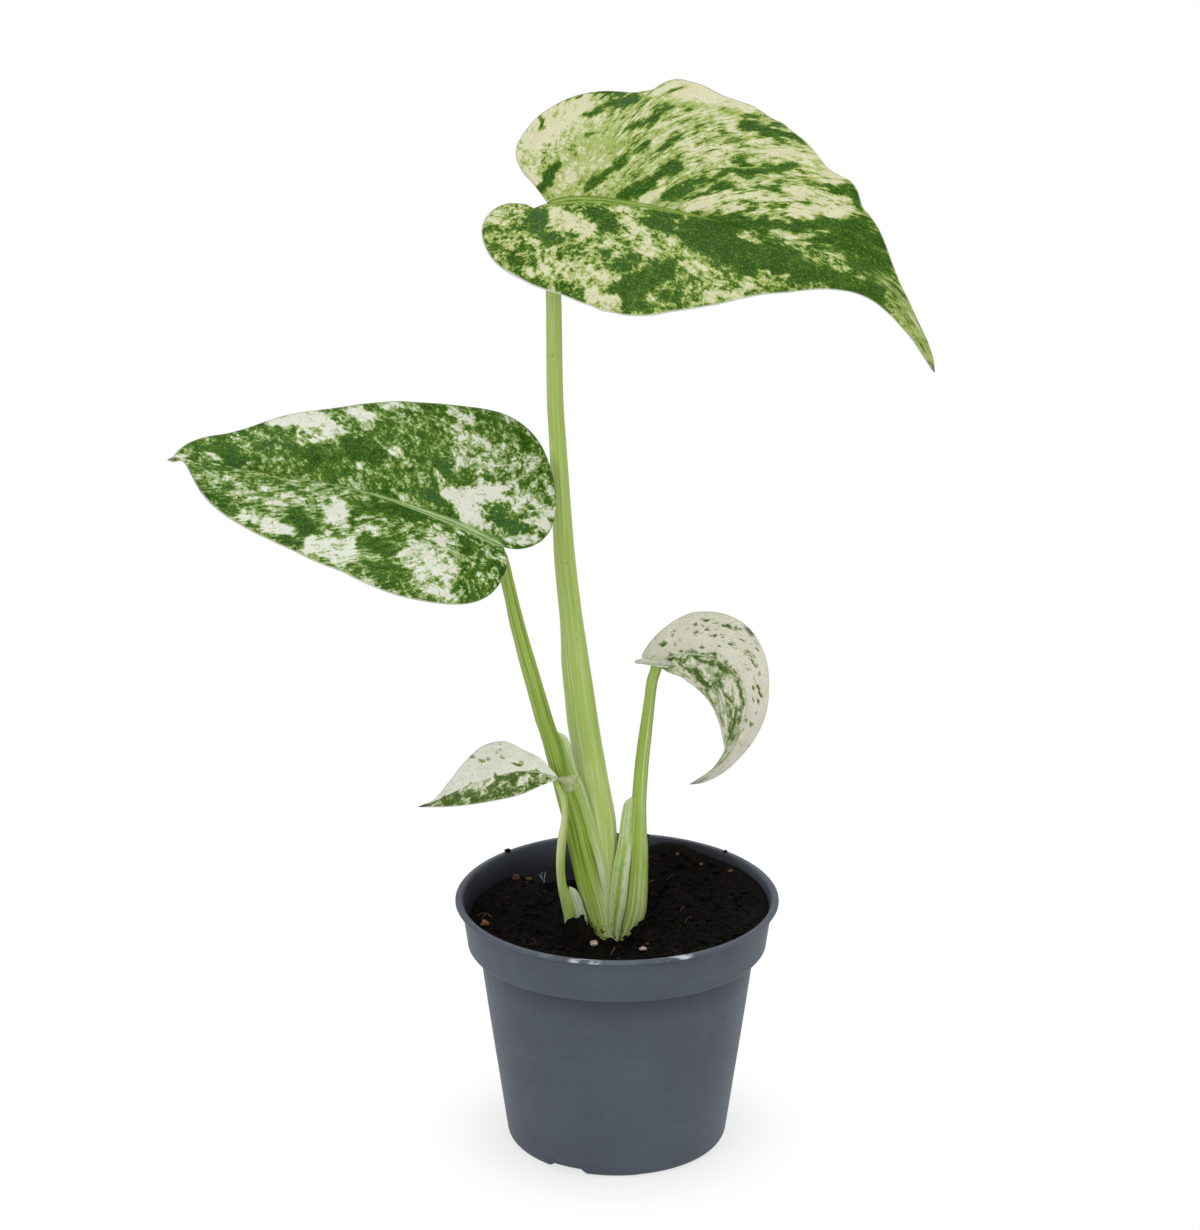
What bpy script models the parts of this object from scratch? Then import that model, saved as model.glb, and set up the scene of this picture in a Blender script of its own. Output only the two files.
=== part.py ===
"""A young variegated monstera with four leaves, standing in a round plastic nursery pot.

Metres, +Z up. The origin is on the pot's axis, on the surface that the pot stands on.
Dimensions below are in millimetres, and the big leaves face -Y.
"""
import math

import bmesh
import bpy
import numpy as np
from mathutils import Vector, noise

MM = 0.001
CLEARANCE = 0.3  # between pieces that touch

# Pot, an injection-moulded cup with a stiffening band below its lip
POT_HEIGHT = 96.0
LIP_RADIUS = 60.0
LIP_HEIGHT = 3.4
LIP_WIDTH = 2.7
BAND_TOP_RADIUS = 57.3
BAND_FOOT_RADIUS = 55.2
BAND_FOOT_Z = 78.0
WALL_TOP_RADIUS = 51.4
WALL_FOOT_RADIUS = 41.2
WALL_FOOT_Z = 4.2
FOOT_RADIUS = 37.0
FOOT_INNER_RADIUS = 33.5
WALL = 1.1
LEDGE = 1.1  # thickness of the step under the band
FLOOR_LIFT = 2.2  # the floor between the foot ring and the centre pad stands this far off the ground
PAD_RADIUS = 22.0
POT_SIDES = 72
DRAIN_HOLES = 8
DRAIN_RADIUS = 2.4
DRAIN_CIRCLE = 28.5

# Gaps in the foot ring, repeated three times round: first angle, last angle, height.
# Angles run counter-clockwise seen from above, from the front.
FOOT_REPEATS = 3
FOOT_GAPS = ((-40.5, -19.5, 2.2), (11.0, 53.0, 1.0))

# Soil
SOIL_LEVEL = 82.5  # round the stalks
# Height where it meets the wall, by angle from the front, counter-clockwise seen from above.
SOIL_EDGE = ((0, 84), (45, 88), (90, 91), (135, 92), (160, 93), (180, 87),
             (205, 81), (230, 86), (270, 85), (315, 84), (360, 84))
SOIL_REACH = BAND_FOOT_RADIUS - WALL - CLEARANCE
SOIL_RINGS = 9
SOIL_SIDES = 72

# Leaves and stalks
BLADE_THICKNESS = 0.8
STALK_SIDES = 14


def clear_scene():
    for old in list(bpy.data.objects):
        bpy.data.objects.remove(old, do_unlink=True)


def material(name, colour, roughness):
    made = bpy.data.materials.new(name)
    made.use_nodes = True
    shader = made.node_tree.nodes["Principled BSDF"]
    shader.inputs["Base Color"].default_value = (*colour, 1.0)
    shader.inputs["Roughness"].default_value = roughness
    shader.inputs["Metallic"].default_value = 0.0
    return made


def piece(name, points, faces, finish):
    """A named object from points in millimetres."""
    mesh = bpy.data.meshes.new(name)
    mesh.from_pydata([Vector(p) * MM for p in points], [], faces)
    shell = bmesh.new()
    shell.from_mesh(mesh)
    bmesh.ops.recalc_face_normals(shell, faces=shell.faces)
    shell.to_mesh(mesh)
    shell.free()
    mesh.shade_smooth()
    mesh.set_sharp_from_angle(angle=math.radians(40))
    mesh.materials.append(finish)
    made = bpy.data.objects.new(name, mesh)
    bpy.context.collection.objects.link(made)
    return made


def cutter(name, points, faces):
    """A helper solid that only cuts, and isn't part of the object."""
    made = piece(name, points, faces, CUTTER_FINISH)
    made.hide_render = True
    made.display_type = "WIRE"
    return made


def cut(target, tool):
    change = target.modifiers.new("cut_" + tool.name, "BOOLEAN")
    change.operation = "DIFFERENCE"
    change.solver = "EXACT"
    change.object = tool


def smooth_curve(points, count):
    """Evenly spaced points on a smooth curve through the given ones."""
    knots = np.array(points, float)
    ends = np.vstack([2 * knots[0] - knots[1], knots, 2 * knots[-1] - knots[-2]])
    steps = np.sqrt(np.linalg.norm(np.diff(ends, axis=0)[:, :3], axis=1))
    times = np.concatenate([[0.0], np.cumsum(steps)])
    fine = []
    for i in range(1, len(knots)):
        t0, t1, t2, t3 = times[i - 1:i + 3]
        p0, p1, p2, p3 = ends[i - 1:i + 3]
        for t in np.linspace(t1, t2, 16, endpoint=i == len(knots) - 1):
            a1 = p0 + (p1 - p0) * (t - t0) / (t1 - t0)
            a2 = p1 + (p2 - p1) * (t - t1) / (t2 - t1)
            a3 = p2 + (p3 - p2) * (t - t2) / (t3 - t2)
            b1 = a1 + (a2 - a1) * (t - t0) / (t2 - t0)
            b2 = a2 + (a3 - a2) * (t - t1) / (t3 - t1)
            fine.append(b1 + (b2 - b1) * (t - t1) / (t2 - t1))
    fine = np.array(fine)
    along = np.concatenate([[0.0], np.cumsum(np.linalg.norm(np.diff(fine, axis=0)[:, :3], axis=1))])
    even = np.linspace(0.0, along[-1], count)
    return np.column_stack([np.interp(even, along, fine[:, k]) for k in range(fine.shape[1])])


def sample(curve, share):
    """The point at a share of 0 to 1 along evenly spaced points."""
    at = share * (len(curve) - 1)
    low = min(int(at), len(curve) - 2)
    return curve[low] + (curve[low + 1] - curve[low]) * (at - low)


def turned(profile, sides):
    """A solid turned about Z from (radius, height) pairs; the first and last are on the axis."""
    points = [(0.0, 0.0, profile[0][1])]
    for radius, height in profile[1:-1]:
        for k in range(sides):
            turn = 2 * math.pi * k / sides
            points.append((radius * math.sin(turn), -radius * math.cos(turn), height))
    points.append((0.0, 0.0, profile[-1][1]))
    return points, lathe_faces(len(profile) - 2, sides)


def lathe_faces(rings, sides):
    """Faces between stacked rings that close on one point at each end."""
    last = 1 + rings * sides
    faces = []
    for k in range(sides):
        nxt = (k + 1) % sides
        faces.append((0, 1 + nxt, 1 + k))
        faces.append((last, last - sides + k, last - sides + nxt))
        for ring in range(rings - 1):
            low = 1 + ring * sides
            high = low + sides
            faces.append((low + k, low + nxt, high + nxt, high + k))
    return faces


def arc(centre, radius, first, last, steps):
    """Points on an arc in the radius-height plane, angles in degrees."""
    turns = np.radians(np.linspace(first, last, steps + 1))
    return [(centre[0] + radius * math.cos(a), centre[1] + radius * math.sin(a)) for a in turns]


# ---------------------------------------------------------------- pot

def inner_wall():
    """(radius, height) pairs up the inside of the pot, from its floor to just below the lip."""
    floor_z = FLOOR_LIFT + WALL
    return [
        (PAD_RADIUS + 0.2, WALL),
        (PAD_RADIUS + 1.6, floor_z),
        (WALL_FOOT_RADIUS - 3.0, floor_z),
        (WALL_FOOT_RADIUS - WALL + 0.3, floor_z + 2.5),
        (WALL_TOP_RADIUS - WALL, BAND_FOOT_Z + LEDGE - 0.4),
        (BAND_FOOT_RADIUS - WALL, BAND_FOOT_Z + LEDGE + 0.3),
        (BAND_TOP_RADIUS - WALL, POT_HEIGHT - LIP_HEIGHT),
    ]


def pot_profile():
    lip_low = POT_HEIGHT - LIP_HEIGHT
    under = [
        (0.0, 0.0),
        (PAD_RADIUS, 0.0),
        (PAD_RADIUS + 1.4, FLOOR_LIFT),
        (FOOT_INNER_RADIUS - 0.8, FLOOR_LIFT),
        (FOOT_INNER_RADIUS, 0.0),
    ]
    corner = arc((FOOT_RADIUS, WALL_FOOT_Z), WALL_FOOT_RADIUS - FOOT_RADIUS, -90, 0, 4)
    side = [
        (WALL_TOP_RADIUS, BAND_FOOT_Z),
        (BAND_FOOT_RADIUS - 0.8, BAND_FOOT_Z),
        (BAND_FOOT_RADIUS, BAND_FOOT_Z + 0.8),
        (BAND_TOP_RADIUS, lip_low),
    ]
    lip = [
        (LIP_RADIUS - 0.8, lip_low),
        (LIP_RADIUS, lip_low + 0.9),
        (LIP_RADIUS, POT_HEIGHT - 1.0),
        (LIP_RADIUS - 0.8, POT_HEIGHT),
        (LIP_RADIUS - LIP_WIDTH, POT_HEIGHT),
        (LIP_RADIUS - LIP_WIDTH - 0.7, POT_HEIGHT - 0.8),
    ]
    return under + corner + side + lip + inner_wall()[::-1] + [(0.0, WALL)]


def ring_sector(first, last, inner, outer, low, high):
    """A closed block between two angles and two radii."""
    steps = max(2, int((last - first) / 5))
    points = []
    for angle in np.radians(np.linspace(first, last, steps + 1)):
        for radius, height in ((inner, low), (outer, low), (outer, high), (inner, high)):
            points.append((radius * math.sin(angle), -radius * math.cos(angle), height))
    faces = [(3, 2, 1, 0), tuple(4 * steps + k for k in range(4))]
    for step in range(steps):
        for k in range(4):
            nxt = (k + 1) % 4
            low_k = 4 * step + k
            low_n = 4 * step + nxt
            faces.append((low_k, low_n, low_n + 4, low_k + 4))
    return points, faces


def build_pot():
    pot = piece("pot", *turned(pot_profile(), POT_SIDES), PLASTIC)
    for repeat in range(FOOT_REPEATS):
        for index, (first, last, height) in enumerate(FOOT_GAPS):
            shift = repeat * 360.0 / FOOT_REPEATS
            block = ring_sector(first + shift, last + shift, FOOT_INNER_RADIUS - 1.4,
                                WALL_FOOT_RADIUS + 2.0, -2.0, height)
            cut(pot, cutter(f"foot_gap_{repeat}_{index}", *block))
    for k in range(DRAIN_HOLES):
        turn = 2 * math.pi * (k + 0.5) / DRAIN_HOLES
        centre = Vector((DRAIN_CIRCLE * math.sin(turn), -DRAIN_CIRCLE * math.cos(turn), 0.0))
        points, faces = turned([(0, -1), (DRAIN_RADIUS, -1), (DRAIN_RADIUS, 6), (0, 6)], 16)
        cut(pot, cutter(f"drain_{k}", [Vector(p) + centre for p in points], faces))


# ---------------------------------------------------------------- soil

def wall_reach(height):
    """How far from the axis the mix reaches where its top meets the band's inner wall."""
    radii, heights = zip(*inner_wall()[-2:])
    return float(np.interp(height, heights, radii)) - CLEARANCE


def soil_height(x, y):
    """Height of the potting mix: low round the stalks, high at the back right, and lumpy."""
    angle = math.degrees(math.atan2(x, -y)) % 360.0
    edge = float(np.interp(angle, *zip(*SOIL_EDGE)))
    out = min(math.hypot(x, y) / SOIL_REACH, 1.0)
    lumps = 1.1 * noise.noise(Vector((x / 11.0, y / 11.0, 0.3)))
    lumps += 0.5 * noise.noise(Vector((x / 5.0, y / 5.0, 7.1)))
    return SOIL_LEVEL + (edge - SOIL_LEVEL) * out ** 1.3 + lumps * (1.0 - out ** 6)


def build_soil():
    """The mix fills the pot up to a lumpy top, with a hair of room to the wall."""
    points = [(0.0, 0.0, WALL + CLEARANCE)]
    rings = 0
    for radius, height in inner_wall()[:-1]:
        for k in range(SOIL_SIDES):
            turn = 2 * math.pi * k / SOIL_SIDES
            reach = radius - CLEARANCE
            points.append((reach * math.sin(turn), -reach * math.cos(turn), height + CLEARANCE))
        rings += 1
    for ring in range(SOIL_RINGS):
        inward = 1.0 - ring / SOIL_RINGS
        for k in range(SOIL_SIDES):
            turn = 2 * math.pi * k / SOIL_SIDES
            rim = soil_height(SOIL_REACH * math.sin(turn), -SOIL_REACH * math.cos(turn))
            x = wall_reach(rim) * inward * math.sin(turn)
            y = -wall_reach(rim) * inward * math.cos(turn)
            points.append((x, y, soil_height(x, y)))
        rings += 1
    points.append((0.0, 0.0, soil_height(0.0, 0.0)))
    return piece("soil", points, lathe_faces(rings, SOIL_SIDES), SOIL_FINISH)


# ---------------------------------------------------------------- stalks

# x, y, z of the centre line, half the width and half the depth, from the soil to the leaf.
MAIN_PATH = (
    (-4.5, -1, 78, 6.0, 4.6), (-5.2, -0.5, 92, 6.6, 4.9), (-6.2, 0, 108, 6.8, 5.0),
    (-8.2, 0, 134, 6.5, 4.8), (-10.8, 0, 151, 5.6, 4.6), (-15.2, 0, 189, 4.5, 4.2),
    (-19.3, 0, 236, 3.4, 3.4), (-21.8, 0, 273, 3.05, 3.0), (-22.8, 0, 325, 2.7, 2.7),
    (-23.2, 2.5, 345, 2.6, 2.6), (-23.6, 4.0, 353, 2.3, 2.3), (-23.3, 2.8, 359.0, 1.3, 1.3),
)
LEFT_PATH = (
    (-9.0, -5.5, 78, 3.2, 3.0), (-11.6, -6.3, 100, 3.6, 3.1), (-15.4, -7.8, 123, 3.9, 3.1),
    (-20.6, -11, 147, 3.7, 3.0), (-26.6, -17, 173, 3.2, 2.6), (-33.4, -24, 202, 2.7, 2.4),
    (-38.2, -29, 226.5, 2.4, 2.3), (-40.2, -30.2, 236, 2.1, 2.0), (-41.5, -31.2, 243.0, 1.2, 1.2),
)
RIGHT_PATH = (
    (3.6, -5, 78, 3.6, 3.4), (4.1, -5, 93, 4.3, 3.6), (5.3, -4.2, 106, 4.2, 3.4),
    (6.8, -3, 120, 3.5, 3.0), (8.2, -2, 136, 2.5, 2.4), (9.8, -1, 152, 2.05, 2.0),
    (11.2, 0, 168, 1.95, 1.9), (13.0, 1.2, 179, 1.9, 1.9), (15.0, 2.2, 186.4, 1.2, 1.2),
)
SMALL_PATH = (
    (-15.5, -7, 80, 1.7, 1.6), (-17.4, -9.5, 91, 1.6, 1.5), (-19.4, -12, 102, 1.5, 1.4),
    (-20.6, -13.8, 114, 1.4, 1.4), (-19.4, -15, 129, 1.35, 1.3), (-19.2, -17.2, 141, 1.35, 1.3),
    (-21.9, -17.5, 149.2, 0.9, 0.9),
)


def tube(path, stations, grow=0.0, sides=STALK_SIDES):
    """A rounded stalk along a path of (x, y, z, half width, half depth), swollen by grow."""
    line = smooth_curve(path, stations)
    centres = [Vector(row[:3]) for row in line]
    first = (centres[0] - centres[1]).normalized() * (0.35 * line[0][3] + grow)
    last = (centres[-1] - centres[-2]).normalized() * (0.6 * line[-1][3] + grow)
    points = [centres[0] + first]
    for i, row in enumerate(line):
        ahead = centres[min(i + 1, stations - 1)] - centres[max(i - 1, 0)]
        ahead.normalize()
        across = Vector((1, 0, 0)) - ahead * ahead.x
        across.normalize()
        deep = ahead.cross(across)
        for k in range(sides):
            turn = 2 * math.pi * k / sides
            points.append(centres[i] + across * math.cos(turn) * (row[3] + grow)
                          + deep * math.sin(turn) * (row[4] + grow))
    points.append(centres[-1] + last)
    return points, lathe_faces(stations, sides)


def build_stalks(soil, leaves):
    """Each stalk gives way to the ones that it wraps, to its leaf and to the stem base."""
    paths = (("main", MAIN_PATH, 30), ("left", LEFT_PATH, 24),
             ("right", RIGHT_PATH, 22), ("small", SMALL_PATH, 16))
    room = cutter("room_for_stem_base", *stem_base_shape(CLEARANCE))
    cut(soil, room)
    inside = [room]
    for name, path, stations in paths:
        stalk = piece(f"{name}_petiole", *tube(path, stations), STALK_FINISH)
        for neighbour in inside:
            cut(stalk, neighbour)
        leaf_room = blade_solid(f"room_for_{name}_blade", leaves[name],
                                BLADE_THICKNESS + 2 * CLEARANCE, CUTTER_FINISH)
        leaf_room.hide_render = True
        leaf_room.display_type = "WIRE"
        cut(stalk, leaf_room)
        around = cutter(f"room_for_{name}_petiole", *tube(path, stations, CLEARANCE))
        cut(soil, around)
        inside.append(around)


def stem_base_shape(grow=0.0):
    """The short stem: a blunt cone with its crown just below the stalks."""
    profile = [
        (0.0, 58.0 - grow), (4.0 + grow, 58.0 - grow), (6.6 + grow, 62.0), (7.6 + grow, 70.0),
        (7.2 + grow, 75.0), (4.5 + grow, 77.6 + grow), (0.0, 78.2 + grow),
    ]
    points, faces = turned(profile, 20)
    return [Vector(p) + Vector((-3.5, -3.0, 0.0)) for p in points], faces


# ---------------------------------------------------------------- leaves

# Each leaf: its midrib and its two margins, all from the tip to where the stalk joins.
TOP_LEAF = {
    "midrib": ((112, -12, 302), (105.5, -11, 313), (97.5, -10, 326), (86, -8, 337.5), (68, -6, 345.5),
               (47, -4, 351.5), (27.5, -2, 356), (7.5, 0, 359.5), (-11.5, 1, 361.5), (-24.6, 2, 359.8)),
    "back": ((112, -12, 302), (107, -6, 316), (101, -3, 328), (91.5, 8.5, 350), (77.5, 18, 366.5),
             (63.5, 26, 379), (47.5, 32, 387.5), (32.5, 36, 393.5), (13, 35.5, 395), (-10, 32, 392.5),
             (-22, 30, 388.5), (-31, 25, 382.5), (-35.5, 17, 374.5), (-33.5, 11, 368.5),
             (-28.2, 6.5, 364.2), (-24.6, 2, 359.8)),
    "front": ((112, -12, 302), (105.5, -13.5, 310.5), (99, -14.5, 320.5), (91, -14.5, 328),
              (82, -16, 333), (68.5, -20, 334.5), (50, -26, 334.5), (33.5, -32.5, 332.5),
              (17, -38, 331), (2.5, -40, 331), (-11, -37, 333.5), (-25, -29, 337), (-38.5, -22.5, 341.5),
              (-46, -14.5, 347.5), (-47.5, -6.5, 353.5), (-43.5, -0.5, 358), (-36.5, 2, 359.8),
              (-30.5, 1, 359), (-24.6, 2, 359.8)),
    "puff": (3.0, 3.0),
}
LEFT_LEAF = {
    "midrib": ((-157.5, -38, 278), (-150, -38, 278), (-135.5, -37, 275), (-116.5, -36, 272),
               (-97, -35, 268.5), (-83, -34, 265), (-68.5, -33, 259), (-54, -32, 252), (-40.9, -32, 244)),
    "back": ((-157.5, -38, 278), (-149, -34, 283.5), (-134, -27, 285), (-117, -19, 288.5),
             (-103, -14, 289), (-88.5, -9, 290), (-74, -4, 289), (-60, 1, 286.5), (-46, 5, 282.5),
             (-35, 3, 277.5), (-27.5, -3, 271.5), (-23.5, -10, 265), (-22, -17, 258), (-24, -24, 251),
             (-29, -29, 246), (-35.5, -32, 244), (-40.9, -32, 244)),
    "front": ((-157.5, -38, 278), (-149.5, -44, 274.5), (-144, -50, 268), (-134, -56, 262),
              (-120, -61, 255.5), (-105, -64, 250), (-93, -67, 245), (-81.5, -69, 240.5),
              (-67.5, -67, 235.5), (-56, -61.5, 232.5), (-46.5, -54, 232.5), (-41.5, -45, 236),
              (-39, -38, 240), (-40.9, -32, 244)),
    "puff": (3.0, 3.0),
}
RIGHT_LEAF = {
    "midrib": ((26.5, -11, 145), (35.5, -10, 151), (41.5, -8.5, 157), (46, -7, 167), (47, -6, 175),
               (45.5, -5, 181), (42, -4, 186.5), (37.5, -3, 190), (32, -2, 192), (26, -1, 192.5),
               (19.5, 0.5, 191), (14.2, 2, 187.6)),
    "back": ((26.5, -11, 145), (31, -8.5, 144.5), (39.5, -7, 148.5), (49.5, -3.5, 158.5),
             (54.5, -1, 169), (55.5, 1.5, 179.5), (54.5, 4.5, 188), (49, 8.5, 198), (39.5, 10.5, 203.5),
             (27, 10.5, 204), (17, 8, 199), (10.5, 6.5, 192), (9, 5.2, 188.4), (14.2, 2, 187.6)),
    "front": ((26.5, -11, 145), (30.5, -12.5, 148), (35.5, -13, 152), (39, -13, 158), (38, -15, 167),
              (36, -17, 175), (31.5, -16.5, 182), (24.5, -11, 186), (18, -3, 186), (14.2, 2, 187.6)),
    "puff": (2.0, 1.5),
}
SMALL_LEAF = {
    "midrib": ((-72.2, -25, 142), (-64, -24, 144.6), (-57, -23, 147.9), (-50, -22, 150.6),
               (-41, -20.5, 152.9), (-35, -19.5, 153.7), (-28.5, -18.7, 153.2), (-21.6, -18, 150.3)),
    "back": ((-72.2, -25, 142), (-67, -23.5, 144), (-61, -19.5, 150), (-55, -15.5, 156.5),
             (-48.5, -13, 161.2), (-41, -13, 162.8), (-33.5, -15, 160), (-26, -17.2, 156.2),
             (-21.3, -17.4, 152.6), (-21.6, -18, 150.3)),
    "front": ((-72.2, -25, 142), (-66.5, -26, 142.3), (-57.5, -28, 143.6), (-46.5, -28.5, 145.8),
              (-36, -27, 147.8), (-29, -25, 148.6), (-23, -23.5, 148.5), (-17, -23, 149.4),
              (-16, -20.5, 150.6), (-21.6, -18, 150.3)),
    "puff": (1.0, 1.0),
}


def vein_root(share):
    """Where on the midrib the vein starts that ends at this share of the margin."""
    return 1.0 - (1.0 - share) ** 2.2


def blade_grid(leaf, columns, rows):
    """Rows of points from the back margin over the midrib to the front margin, tip first."""
    midrib = smooth_curve(leaf["midrib"], 60)
    margins = (smooth_curve(leaf["back"], 90), smooth_curve(leaf["front"], 90))
    spread = Vector(margins[1][45] - margins[0][45])
    along = Vector(midrib[0] - midrib[-1])
    up = along.cross(spread).normalized()
    if up.z < 0:
        up.negate()
    grid = []
    for j in range(1, columns):
        share = j / columns
        root = Vector(sample(midrib, vein_root(share)))
        line = []
        for side, margin in enumerate(margins):
            edge = Vector(sample(margin, share))
            reach = min(1.0, (edge - root).length / 20.0)
            half = []
            for k in range(1, rows + 1):
                out = k / rows
                lift = leaf["puff"][side] * reach * math.sin(math.pi * out) * math.sin(math.pi * share) ** 0.5
                half.append(root.lerp(edge, out) + up * lift)
            line.append(half)
        grid.append(line[0][::-1] + [root] + line[1])
    return Vector(midrib[0]), grid, Vector(midrib[-1])


def blade_solid(name, leaf, thickness, finish, columns=18, rows=4):
    tip, grid, base = blade_grid(leaf, columns, rows)
    points = [tip] + [p for line in grid for p in line] + [base]
    across = 2 * rows + 1
    last = len(points) - 1
    faces = []
    for k in range(across - 1):
        faces.append((0, 1 + k, 2 + k))
        faces.append((last, last - across + k + 1, last - across + k))
        for j in range(len(grid) - 1):
            low = 1 + j * across + k
            faces.append((low, low + across, low + across + 1, low + 1))
    blade = piece(name, points, faces, finish)
    thicken = blade.modifiers.new("thickness", "SOLIDIFY")
    thicken.thickness = thickness * MM
    thicken.offset = 0.0
    return blade


# ---------------------------------------------------------------- bits on the soil and the lip

# x, y of the middle, then half sizes across, deep and high.
SOIL_BITS = (
    ("bark_chip", -49.5, -1.0, 2.4, 2.0, 1.1),
    ("perlite_grain", -8.5, -17.5, 1.6, 1.4, 1.4),
    ("pale_chip", 9.5, -22.5, 1.7, 1.3, 0.8),
    ("tan_grain_left", -33.5, 38.0, 1.3, 1.1, 0.8),
    ("tan_grain_right", 43.0, 30.0, 1.2, 1.0, 0.9),
    ("tan_grain_back", 32.0, 39.0, 1.0, 0.9, 0.9),
)
# Angle round the pot from the front, then half sizes.
LIP_CRUMBS = (
    ("rim_crumb_left", 224.5, 1.2, 0.9, 0.8),
    ("rim_crumb_back", 168.5, 0.8, 0.8, 0.5),
    ("rim_crumb_right", 135.5, 0.8, 0.7, 0.5),
)


def pebble(name, centre, floor, half, finish):
    """A knobbly grain whose flat underside lies at floor."""
    shell = bmesh.new()
    bmesh.ops.create_icosphere(shell, subdivisions=2, radius=1.0)
    for vert in shell.verts:
        knob = 1.0 + 0.18 * noise.noise(vert.co * 2.3 + Vector((centre[0], centre[1], 0.0)))
        vert.co = Vector((vert.co.x * knob * half[0], vert.co.y * knob * half[1],
                          max(vert.co.z * knob, -0.7) * half[2]))
    lowest = min(vert.co.z for vert in shell.verts)
    points = [vert.co + Vector((centre[0], centre[1], floor - lowest)) for vert in shell.verts]
    faces = [[vert.index for vert in face.verts] for face in shell.faces]
    shell.free()
    return piece(name, points, faces, finish)


def highest_soil(x, y, reach):
    """The soil's highest point under a piece."""
    offsets = (-reach, 0.0, reach)
    return max(soil_height(x + dx, y + dy) for dx in offsets for dy in offsets)


def build_bits():
    for name, x, y, *half in SOIL_BITS:
        floor = highest_soil(x, y, half[0]) + CLEARANCE
        pebble(name, (x, y), floor, half, BIT_FINISHES[name.split("_")[0]])
    lip_middle = LIP_RADIUS - 0.8 - LIP_WIDTH / 2 + 0.4
    for name, angle, *half in LIP_CRUMBS:
        turn = math.radians(angle)
        centre = (lip_middle * math.sin(turn), -lip_middle * math.cos(turn))
        pebble(name, centre, POT_HEIGHT + CLEARANCE, half, SOIL_FINISH)


clear_scene()
CUTTER_FINISH = material("cutter", (0.8, 0.2, 0.2), 0.5)
PLASTIC = material("grey_plastic", (0.10, 0.12, 0.14), 0.45)
SOIL_FINISH = material("potting_mix", (0.012, 0.009, 0.007), 0.95)
STALK_FINISH = material("stalk_green", (0.36, 0.50, 0.12), 0.45)
LEAF_FINISH = material("leaf_green_and_cream", (0.20, 0.35, 0.08), 0.4)
STEM_FINISH = material("stem_base_brown", (0.30, 0.24, 0.12), 0.7)
BARK = material("bark", (0.42, 0.22, 0.09), 0.85)
PERLITE = material("perlite", (0.70, 0.60, 0.52), 0.9)
BIT_FINISHES = {"bark": BARK, "perlite": PERLITE, "pale": PERLITE, "tan": BARK}

LEAVES = {"main": TOP_LEAF, "left": LEFT_LEAF, "right": RIGHT_LEAF, "small": SMALL_LEAF}
BLADE_NAMES = {"main": "top_blade", "left": "left_blade", "right": "right_blade", "small": "small_blade"}

build_pot()
soil_mass = build_soil()
piece("stem_base", *stem_base_shape(), STEM_FINISH)
for stalk_name, leaf_shape in LEAVES.items():
    blade_solid(BLADE_NAMES[stalk_name], leaf_shape, BLADE_THICKNESS, LEAF_FINISH)
build_stalks(soil_mass, LEAVES)
build_bits()
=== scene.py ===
import math
import random

import bmesh
import bpy
import numpy as np
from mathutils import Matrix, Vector, noise


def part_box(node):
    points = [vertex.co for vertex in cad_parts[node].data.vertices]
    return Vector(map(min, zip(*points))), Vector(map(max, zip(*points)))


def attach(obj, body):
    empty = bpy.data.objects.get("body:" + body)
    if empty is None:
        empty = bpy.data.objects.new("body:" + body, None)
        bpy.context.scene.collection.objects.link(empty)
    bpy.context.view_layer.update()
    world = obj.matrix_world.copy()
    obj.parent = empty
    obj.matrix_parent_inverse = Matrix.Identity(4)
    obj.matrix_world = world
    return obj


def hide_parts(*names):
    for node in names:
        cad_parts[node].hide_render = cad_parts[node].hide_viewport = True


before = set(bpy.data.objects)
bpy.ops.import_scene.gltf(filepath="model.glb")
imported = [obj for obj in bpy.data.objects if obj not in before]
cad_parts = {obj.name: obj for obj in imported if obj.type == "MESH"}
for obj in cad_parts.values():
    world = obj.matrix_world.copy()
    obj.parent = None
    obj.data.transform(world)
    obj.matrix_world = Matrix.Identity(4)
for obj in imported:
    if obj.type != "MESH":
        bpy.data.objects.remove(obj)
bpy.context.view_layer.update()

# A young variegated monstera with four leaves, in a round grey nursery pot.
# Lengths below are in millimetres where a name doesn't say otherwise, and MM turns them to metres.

MM = 0.001
TURN = 2 * math.pi
BODY = "root"


# ================================================================ curves and meshes

def between(first, last, start, end, at):
    """The value at a time, on a straight line through two timed values."""
    return first + (last - first) * (at - start) / (end - start)


def path_length(points):
    """Distance along a path at each of its points."""
    return np.concatenate([[0.0], np.cumsum(np.linalg.norm(np.diff(points, axis=0)[:, :3], axis=1))])


def smooth_curve(points, count):
    """Evenly spaced points on a smooth curve through the given ones."""
    knots = np.array(points, float)
    ends = np.vstack([2 * knots[0] - knots[1], knots, 2 * knots[-1] - knots[-2]])
    gaps = np.sqrt(np.linalg.norm(np.diff(ends, axis=0)[:, :3], axis=1))
    times = np.concatenate([[0.0], np.cumsum(gaps)])
    fine = []
    for i in range(1, len(knots)):
        t0, t1, t2, t3 = times[i - 1:i + 3]
        p0, p1, p2, p3 = ends[i - 1:i + 3]
        for t in np.linspace(t1, t2, 16, endpoint=i == len(knots) - 1):
            a1, a2, a3 = between(p0, p1, t0, t1, t), between(p1, p2, t1, t2, t), between(p2, p3, t2, t3, t)
            fine.append(between(between(a1, a2, t0, t2, t), between(a2, a3, t1, t3, t), t1, t2, t))
    fine = np.array(fine)
    along = path_length(fine)
    even = np.linspace(0.0, along[-1], count)
    return np.column_stack([np.interp(even, along, column) for column in fine.T])


def along_curve(curve, share):
    """Points at shares of 0 to 1 along evenly spaced points."""
    at = np.clip(share, 0.0, 1.0) * (len(curve) - 1)
    low = np.minimum(at.astype(int), len(curve) - 2)
    return curve[low] + (curve[low + 1] - curve[low]) * (at - low)[..., None]


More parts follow.
